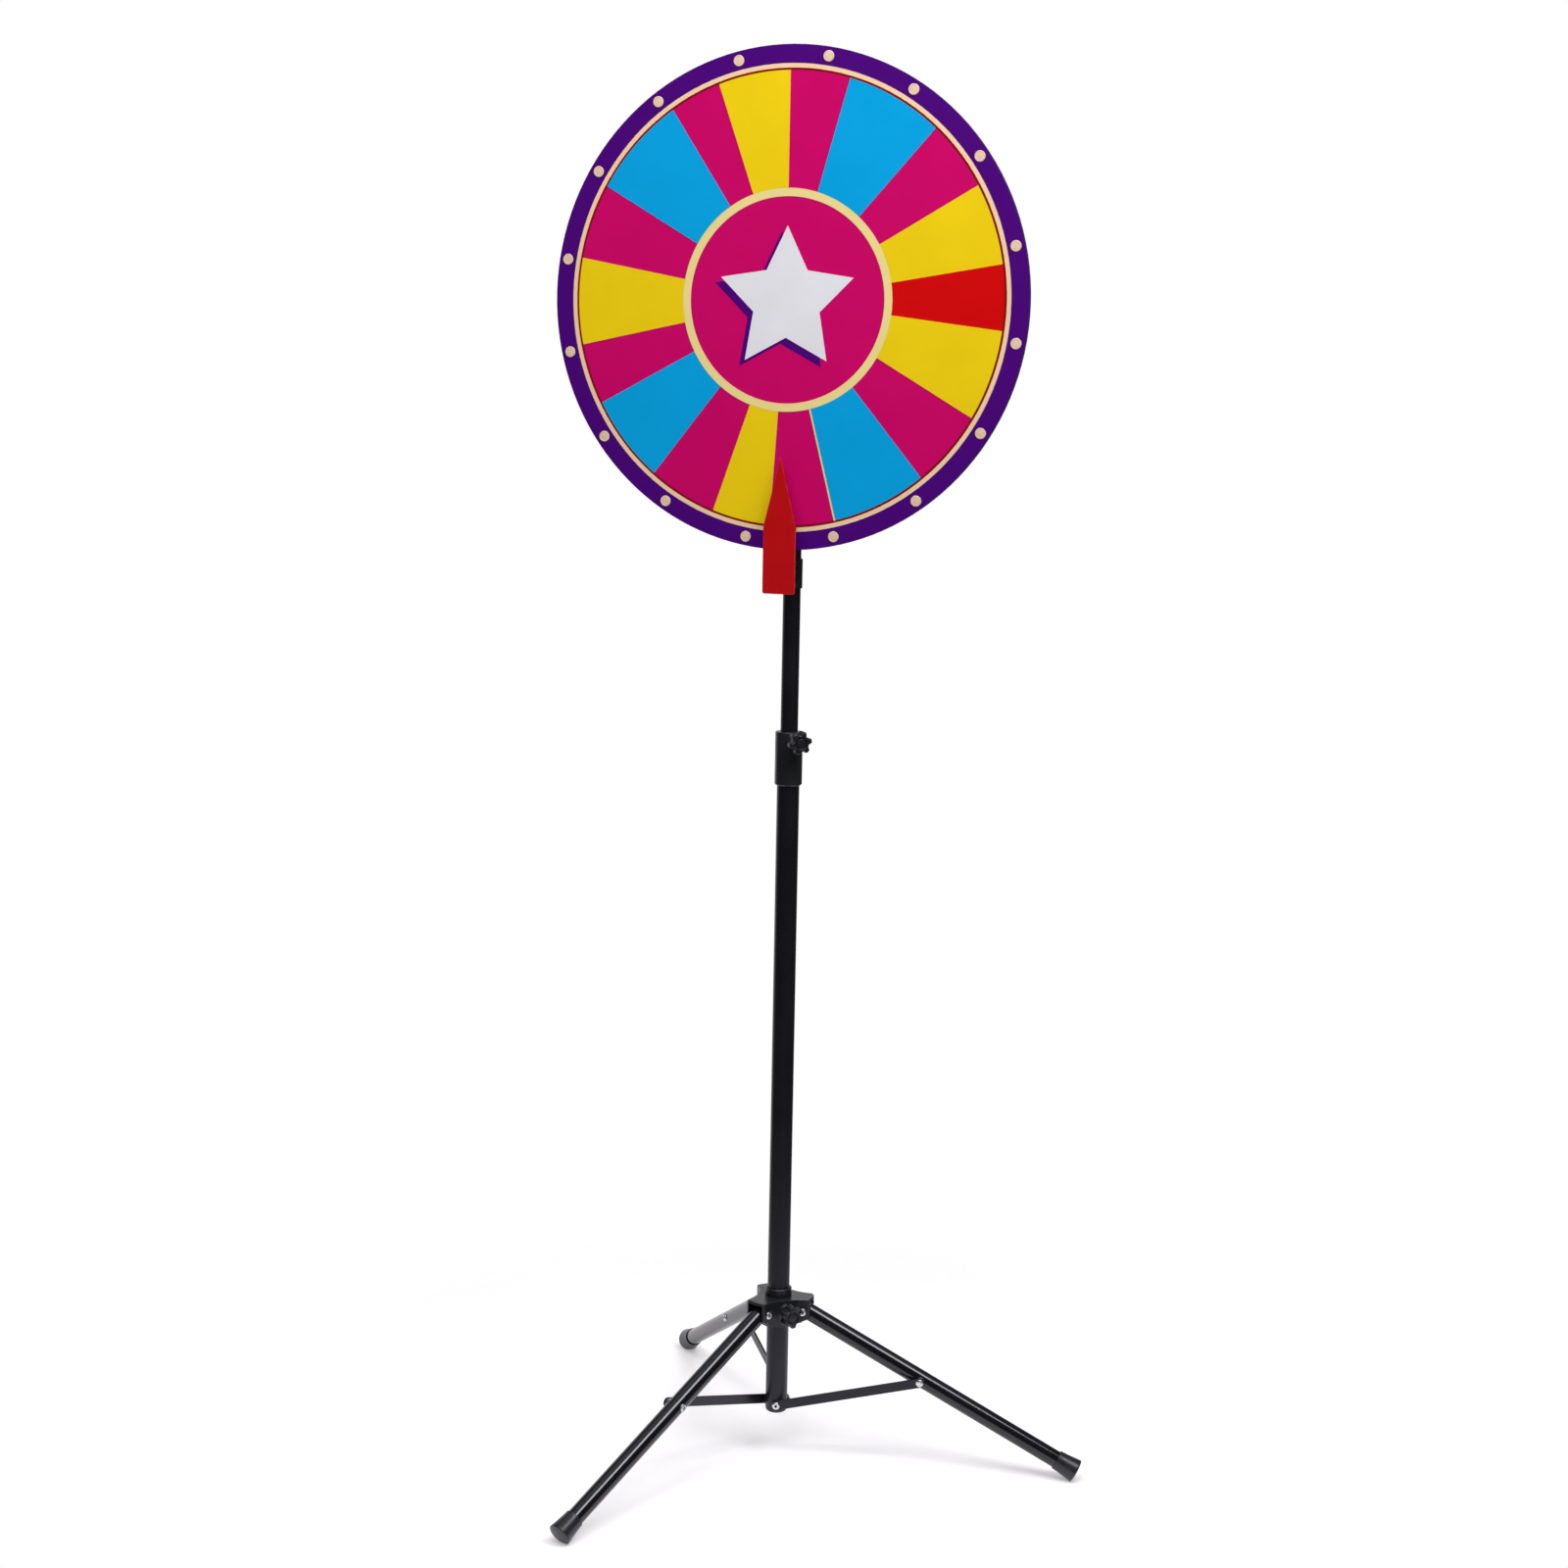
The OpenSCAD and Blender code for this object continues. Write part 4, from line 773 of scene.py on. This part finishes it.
FAR_HEAD_RADIUS = 0.0051
# Painted shade: the far heads and the leg rivets take a darker, duller copy of the rivet zinc.
far_zinc_shaded = bare_metal("far_zinc_shaded", "d2d5da", "b8bcc2", gloss=0.34)
# The far heads get a wider dark middle of painted shade.
far_rivets = build_rivets("far_rivets", ROLLED_PROFILE, hole=0.46)
for side in LEG_SIDES:
    dress(far_zinc_shaded, side + "_leg_rivet")
    far_seats = [seat(along_leg(side), (0, LEG_RADIUS, BRACE_AT), (0, 1, 0))]
    piece = grow(side + "_far_head", seats(side + "_far_seat", far_seats), far_rivets,
                 {"Head Radius": FAR_HEAD_RADIUS, "Head Height": HEAD_HEIGHT, "Shank Radius": RIVET_RADIUS,
                  "Shank Length": LEG_RADIUS, "Material": far_zinc_shaded}, RIVET_CREASE)
    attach(piece, side + "_leg")


# Star knobs: six-lobed grips of hard black plastic on steel screws, one on the collar, one on the spider.
# The face has a raised rim round a sunken cap.
# A grip starts a little inward of its joint's pivot, and its row gives the angle of its first lobe.

KNOB_RADIUS = 0.01525
KNOB_HEIGHT = 0.021
KNOB_LOBES = 6.0
KNOB_HOLLOW = 0.27
KNOB_SIDES = 120
KNOB_CREASE = 45.0
KNOB_INSET = 0.0138
KNOBS = (("height_knob", 42.0), ("clamp_knob", 6.0))
LOBE_FLAT = 0.08
LOBE_ROOT = 0.52
LOBE_RIM = 0.86
KNOB_PROFILE = ((0.0, 0.0), (0.43, 0.0), (0.459, 0.012), (0.459, 0.325), (0.50, 0.335), (0.80, 0.345),
                (0.93, 0.372), (0.985, 0.425), (1.0, 0.50), (1.0, 0.80), (0.985, 0.88), (0.94, 0.945),
                (0.86, 0.985), (0.76, 1.0), (0.56, 1.0), (0.52, 0.992), (0.495, 0.965), (0.48, 0.925),
                (0.45, 0.912), (0.41, 0.918), (0.38, 0.95), (0.35, 0.962), (0.18, 0.972), (0.0, 0.975))


def build_star_knob():
    """Star knob on a seat: a turned grip with a lobed rim."""
    tree, given, out = geometry_tree("star_knob", "Radius", "Height", "Lobes", "Hollow", "First Lobe")

    def lobes(angle, out_by):
        """Draws the rim in between the lobes; the middle stays round."""
        from_lobe = calc(tree, "SUBTRACT", angle, given["First Lobe"])
        wave = calc(tree, "COSINE", calc(tree, "MULTIPLY", from_lobe, given["Lobes"]))
        gap = ramp(tree, calc(tree, "MULTIPLY_ADD", wave, -0.5, 0.5), LOBE_FLAT, 1.0, "SMOOTHSTEP")
        rim = ramp(tree, calc(tree, "DIVIDE", out_by, given["Radius"]), LOBE_ROOT, LOBE_RIM, "SMOOTHSTEP")
        depth = calc(tree, "MULTIPLY", calc(tree, "MULTIPLY", gap, rim), given["Hollow"])
        return calc(tree, "MULTIPLY", out_by, calc(tree, "SUBTRACT", 1.0, depth))

    grip = turn_profile(tree, given["Radius"], given["Height"], KNOB_PROFILE, KNOB_SIDES, lobes)
    finish_tree(tree, out, on_seats(tree, given["Geometry"], grip, level=True), given["Material"])
    return tree


star_knob = build_star_knob()
knob_plastic = moulded_plastic("knob_plastic", "121214", "1c1c1f", gloss=0.38, grain=0.0006)
for name, first_lobe in KNOBS:
    knob_way = Vector(joints[name + "_turn"]["axis"])
    stem_at = Vector(joints[name + "_turn"]["pos_m"]) - knob_way * KNOB_INSET
    piece = grow(name + "_grip", seats(name + "_seat", [(stem_at, knob_way)]), star_knob,
                 {"Radius": KNOB_RADIUS, "Height": KNOB_HEIGHT, "Lobes": KNOB_LOBES, "Hollow": KNOB_HOLLOW,
                  "First Lobe": math.radians(first_lobe), "Material": knob_plastic}, KNOB_CREASE)
    fit(piece, name, name)
screw_zinc = bare_metal("screw_zinc", "c9ccd0", "9fa3a9", gloss=0.3)
dress(screw_zinc, "height_knob_screw", "clamp_knob_screw")


# Upper mast: steel tube with the black coat, a moulded plug at each end, and the bush that it turns in.
# The bush is pale low-friction plastic, held on the tube by a steel ring, and hidden in the main tube.

mast_coat = coated_steel("mast_coat", gloss=0.38, stretch=UPRIGHT_STRETCH)
dress(mast_coat, "mast_tube")
dress(stand_nylon, "mast_foot_plug")
top_cap = softened("mast_top_plug", "mast_top_cap", stand_nylon, width=0.0006)
fit(top_cap, "mast", "mast_top_plug")


def bush_plastic():
    """Pale slippery plastic with a waxy sheen and grey rub marks."""
    material, tree, shader, place = new_finish("bush_plastic")
    skin = use(tree, fine_texture, vector=place, grain=0.0009, patch=0.01)
    lines = use(tree, scuffs, vector=place, stretch=(0.1, 0.1, 1.0), width=0.0005, amount=0.6)["Mask"]
    body = blend_colour(tree, skin["Tone"], srgb("f4f2ec"), srgb("e4e1d8"))
    tree.links.new(blend_colour(tree, lines, body, srgb("8d8d8d")), shader.inputs["Base Color"])
    tree.links.new(span(tree, skin["Tone"], low=0.35, high=0.5), shader.inputs["Roughness"])
    raise_grain(tree, shader, skin["Height"], strength=0.1, depth=0.0001)
    return material


dress(bush_plastic(), "slide_bush")
ring_steel = bare_metal("ring_steel", "b9bdc3", "8f949b", gloss=0.3)
dress(ring_steel, "bush_stop_ring")


# Axle: a zinc-plated bolt through the mast, a steel spacer, a curved black washer and a domed nut behind.
# Two shielded ball bearings run on it, ground and polished steel.

dress(screw_zinc, "axle_bolt", "axle_spacer")
dress(stand_nylon, "axle_washer")
cap_nut = softened("axle_nut", "axle_cap_nut", screw_zinc, width=0.0004, turn=20.0)
fit(cap_nut, "mast", "axle_nut")
race_steel = bare_metal("race_steel", "c2c6cc", "a3a8af", gloss=0.16, grain=0.0003)
dress(race_steel, "bearing_inner_races", "bearing_outer_races", "bearing_balls", "bearing_shields")
dress(ring_steel, "bearing_circlip")


# Wheel hub: moulded flange and barrel with six ribs, held on the board's back by six pan-head screws.
# The screws are zinc plated with a cross recess, whose two slots differ a little in depth.

hub_nylon = moulded_plastic("hub_nylon", "101012", "1b1b1e", gloss=0.44, grain=0.0009)
hub = softened("wheel_hub", "hub_moulding", hub_nylon, width=0.0005)
fit(hub, "wheel", "wheel_hub")

SCREW_SIDES = 40
SCREW_CREASE = 40.0
SLOT_LENGTH = 1.15
SLOT_WIDTH = 0.24
SECOND_SLOT = 0.9
SCREW_PROFILE = ((0.0, 0.0), (0.94, 0.0), (1.0, 0.06), (1.0, 0.34), (0.97, 0.52), (0.90, 0.70),
                 (0.78, 0.86), (0.60, 0.96), (0.35, 1.0), (0.0, 1.0))


def build_cross_screws():
    """Screw heads on seats: a turned head with two crossed slots cut into it."""
    tree, given, out = geometry_tree("cross_screws", "Head Radius", "Head Height", "Recess")
    head = turn_profile(tree, given["Head Radius"], given["Head Height"], SCREW_PROFILE, SCREW_SIDES)
    wide = calc(tree, "MULTIPLY", given["Head Radius"], SLOT_LENGTH)
    thin = calc(tree, "MULTIPLY", given["Head Radius"], SLOT_WIDTH)
    deep = calc(tree, "MULTIPLY", given["Recess"], 2.0)
    top = put(tree, "ShaderNodeCombineXYZ", {"Z": given["Head Height"]}).outputs[0]
    recess = put(tree, "GeometryNodeMeshBoolean", {"Mesh 1": head}, operation="DIFFERENCE")
    for x, y, z in ((wide, thin, deep), (thin, wide, calc(tree, "MULTIPLY", deep, SECOND_SLOT))):
        size = put(tree, "ShaderNodeCombineXYZ", {"X": x, "Y": y, "Z": z}).outputs[0]
        bar = put(tree, "GeometryNodeMeshCube", {"Size": size}).outputs["Mesh"]
        lifted = put(tree, "GeometryNodeTransform", {"Geometry": bar, "Translation": top})
        tree.links.new(lifted.outputs[0], recess.inputs["Mesh 2"])
    finish_tree(tree, out, on_seats(tree, given["Geometry"], recess.outputs["Mesh"]), given["Material"])
    return tree


AXLE_Z = joints["wheel_spin"]["pos_m"][2]


def on_wheel(radius, turn, depth):
    """Point at a radius and a turn about the axle, some way in front of the mast's axis."""
    return Vector((radius * math.sin(turn), -depth, AXLE_Z + radius * math.cos(turn)))


BACKWARD = Vector((0, 1, 0))
HUB_SCREWS = 6
HUB_SCREW_CIRCLE = 0.041
FLANGE_THICK = 0.004
FLANGE_BACK = -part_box("wheel_hub")[0].y - FLANGE_THICK
cross_screws = build_cross_screws()
hub_screw_places = [(on_wheel(HUB_SCREW_CIRCLE, -i * math.tau / HUB_SCREWS, FLANGE_BACK), BACKWARD)
                    for i in range(HUB_SCREWS)]
piece = grow("hub_screw_heads", seats("hub_screw_seats", hub_screw_places), cross_screws,
             {"Head Radius": 0.004, "Head Height": 0.0024, "Recess": 0.0013, "Material": screw_zinc},
             SCREW_CREASE)
fit(piece, "wheel", "hub_screws")


# Wheel board: a dense dark-cored panel, sawn round, its edge sanded and its back left plain.
# The printed film covers its front.

def panel_board():
    """Dense panel: fibre flecks, faint sanding swirls."""
    material, tree, shader, place = new_finish("panel_board")
    skin = use(tree, fine_texture, vector=place, grain=0.0012, patch=0.09)
    lines = use(tree, scuffs, vector=place, stretch=(1.0, 1.0, 0.12), width=0.0011, amount=0.5)["Mask"]
    body = blend_colour(tree, skin["Tone"], srgb("242427"), srgb("313135"))
    tree.links.new(blend_colour(tree, lines, body, srgb("4c4b4d")), shader.inputs["Base Color"])
    tree.links.new(span(tree, skin["Tone"], low=0.55, high=0.72), shader.inputs["Roughness"])
    shader.inputs["Specular IOR Level"].default_value = 0.35
    raise_grain(tree, shader, skin["Height"], strength=0.25, depth=0.0003)
    return material


dress(panel_board(), "wheel_board")


# Printed face: vinyl film in rings and segments of plain colour under a satin wipe-clean layer.
# The ink varies slightly, and the satin layer has a very fine stipple and a few wiping marks.

LINE_INK = "820a08"
LINE_START = 0.27405
LINE_FULL = 0.27465
INK_THIN = 0.97
INK_FULL = 1.02
WIPE_POLISHES = -0.1


def printed_film(name, colour, lined):
    """Ink under satin laminate: slow mottling, fine stipple, faint wiping marks.

    Lined films end in the ink of the border line.
    """
    material, tree, shader, place = new_finish(name)
    ink = use(tree, fine_texture, vector=place, grain=0.0009, patch=0.06)
    wipes = use(tree, scuffs, vector=place, stretch=(0.08, 1.0, 0.5), width=0.0012, amount=1.0)["Mask"]
    base = Vector(srgb(colour)[:3])
    deep = list(base * INK_THIN) + [1.0]
    full = list(base * INK_FULL) + [1.0]
    face = blend_colour(tree, span(tree, ink["Tone"], 0.0, 1.0), deep, full)
    if lined:
        spot = calc_vector(tree, "SUBTRACT", place, (0.0, 0.0, AXLE_Z))
        reach = calc_vector(tree, "LENGTH", calc_vector(tree, "MULTIPLY", spot, (1.0, 0.0, 1.0)))
        face = blend_colour(tree, ramp(tree, reach, LINE_START, LINE_FULL), face, srgb(LINE_INK))
    tree.links.new(face, shader.inputs["Base Color"])
    satin = span(tree, ink["Tone"], low=0.42, high=0.5)
    tree.links.new(calc(tree, "MULTIPLY_ADD", wipes, WIPE_POLISHES, satin), shader.inputs["Roughness"])
    shader.inputs["Specular IOR Level"].default_value = 0.08
    raise_grain(tree, shader, ink["Height"], strength=0.04, depth=0.0001)
    return material


FILMS = (("film_purple", "480076", ("rim_band", "star_shadow")), ("film_cream", "f0cba4", ("cream_ring",)),
         ("film_line", LINE_INK, ("border_line",)), ("film_magenta", "c70063", ("magenta_face",)),
         ("film_blue", "009edc", ("blue_segments",)), ("film_yellow", "ebca0e", ("yellow_segments",)),
         ("film_red", "d00204", ("red_segment",)), ("film_gold", "e9d68e", ("gold_ring",)),
         ("film_white", "e2e1e7", ("star",)))
LINED = ("film_magenta", "film_blue", "film_yellow", "film_red")
films = {}
for name, colour, nodes in FILMS:
    films[name] = printed_film(name, colour, name in LINED)
    dress(films[name], *nodes)


# Gold strip: a narrow film that marks one seam of the face, from the gold ring out to the border line.
# It lies in the second layer, beside the edge of a blue segment.

PRINT_FRONT = -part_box("rim_band")[0].y
FILM_THICK = 0.0003
STRIP_TURN = math.radians(165.5)
STRIP_REACH = (0.1352, 0.2748)
STRIP_SIDE = (0.00015, 0.0021)
outward = Vector((math.sin(STRIP_TURN), 0.0, math.cos(STRIP_TURN)))
sideways = Vector((math.cos(STRIP_TURN), 0.0, -math.sin(STRIP_TURN)))
form = bmesh.new()
for r in STRIP_REACH:
    for s in STRIP_SIDE:
        for y in (PRINT_FRONT, PRINT_FRONT + FILM_THICK):
            form.verts.new(outward * r + sideways * s + Vector((0.0, -y, AXLE_Z)))
bmesh.ops.convex_hull(form, input=form.verts)
bmesh.ops.recalc_face_normals(form, faces=form.faces)
strip_mesh = bpy.data.meshes.new("gold_strip")
form.to_mesh(strip_mesh)
form.free()
strip_mesh.materials.append(films["film_gold"])
piece = add_object("gold_strip", strip_mesh)
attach(piece, "wheel")


# Rim studs: sixteen round cream buttons on the purple band, slightly domed with a rolled rim.
# They are moulded plastic, glued on.

STUD_COUNT = 16
STUD_TURN = math.radians(9.4)
STUD_CIRCLE = 0.29375
STUD_RADIUS = 0.00675
STUD_HEIGHT = 0.0012
STUD_SIDES = 48
STUD_CREASE = 55.0
STUD_PROFILE = ((0.0, 0.0), (0.97, 0.0), (1.0, 0.08), (1.0, 0.35), (0.98, 0.60), (0.94, 0.80), (0.88, 0.93),
                (0.82, 0.97), (0.77, 0.92), (0.74, 0.80), (0.70, 0.78), (0.55, 0.86), (0.35, 0.95),
                (0.15, 0.99), (0.0, 1.0))


def build_rim_buttons():
    """Turned buttons on seats."""
    tree, given, out = geometry_tree("rim_buttons", "Radius", "Height")
    button = turn_profile(tree, given["Radius"], given["Height"], STUD_PROFILE, STUD_SIDES)
    finish_tree(tree, out, on_seats(tree, given["Geometry"], button), given["Material"])
    return tree


def stud_plastic():
    """Cream moulded plastic with a soft gloss."""
    material, tree, shader, place = new_finish("stud_plastic")
    skin = use(tree, fine_texture, vector=place, grain=0.0007, patch=0.01)
    body = blend_colour(tree, skin["Tone"], srgb("e9cdb2"), srgb("dbbb9a"))
    tree.links.new(body, shader.inputs["Base Color"])
    tree.links.new(span(tree, skin["Tone"], low=0.38, high=0.5), shader.inputs["Roughness"])
    shader.inputs["Specular IOR Level"].default_value = 0.35
    raise_grain(tree, shader, skin["Height"], strength=0.06, depth=0.0001)
    return material


stud_places = [(on_wheel(STUD_CIRCLE, STUD_TURN + i * math.tau / STUD_COUNT, PRINT_FRONT), -BACKWARD)
               for i in range(STUD_COUNT)]
piece = grow("rim_buttons", seats("rim_button_seats", stud_places), build_rim_buttons(),
             {"Radius": STUD_RADIUS, "Height": STUD_HEIGHT, "Material": stud_plastic()}, STUD_CREASE)
fit(piece, "wheel", "rim_studs")


# Pointer: a blade cut from red sheet plastic, screwed from behind to a moulded bracket round the mast.
# The sheet's sawn edges are paler than its faces: partly the cut sheet's own colour, partly painted
# highlight.

def blade_plastic():
    """Red sheet: satin face with fine scratches, paler edges that are partly painted highlight."""
    material, tree, shader, place = new_finish("blade_plastic")
    skin = use(tree, fine_texture, vector=place, grain=0.001, patch=0.04)
    lines = use(tree, scuffs, vector=place, stretch=(0.5, 1.0, 0.05), width=0.0006, amount=0.4)["Mask"]
    body = blend_colour(tree, skin["Tone"], srgb("b4040b"), srgb("c0060e"))
    # Paler sawn edges: partly the sheet's own colour, partly painted highlight.
    worn_and_highlit = blend_colour(tree, rubbed_and_highlit_edges(tree, place, amount=0.8), body, srgb("cf5054"))
    tree.links.new(blend_colour(tree, lines, worn_and_highlit, srgb("c43438")), shader.inputs["Base Color"])
    tree.links.new(span(tree, skin["Tone"], low=0.38, high=0.5), shader.inputs["Roughness"])
    shader.inputs["Specular IOR Level"].default_value = 0.12
    raise_grain(tree, shader, skin["Height"], strength=0.06, depth=0.0001)
    return material


blade = softened("pointer_blade", "pointer_sheet", blade_plastic(), width=0.0004)
fit(blade, "mast", "pointer_blade")
bracket = softened("pointer_bracket", "bracket_moulding", stand_nylon, width=0.0004)
fit(bracket, "mast", "pointer_bracket")

BLADE_SCREW_X = 0.012
PLATE_THICK = 0.003
plate_low, plate_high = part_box("pointer_bracket")
plate_back = plate_low.y + PLATE_THICK
plate_mid = (plate_low.z + plate_high.z) / 2
blade_screw_places = [(Vector((x, plate_back, plate_mid)), BACKWARD)
                      for x in (-BLADE_SCREW_X, BLADE_SCREW_X)]
piece = grow("blade_screw_heads", seats("blade_screw_seats", blade_screw_places), cross_screws,
             {"Head Radius": 0.003, "Head Height": 0.0018, "Recess": 0.001, "Material": screw_zinc},
             SCREW_CREASE)
fit(piece, "mast", "blade_screws")
dress(screw_zinc, "bracket_lock_screw")
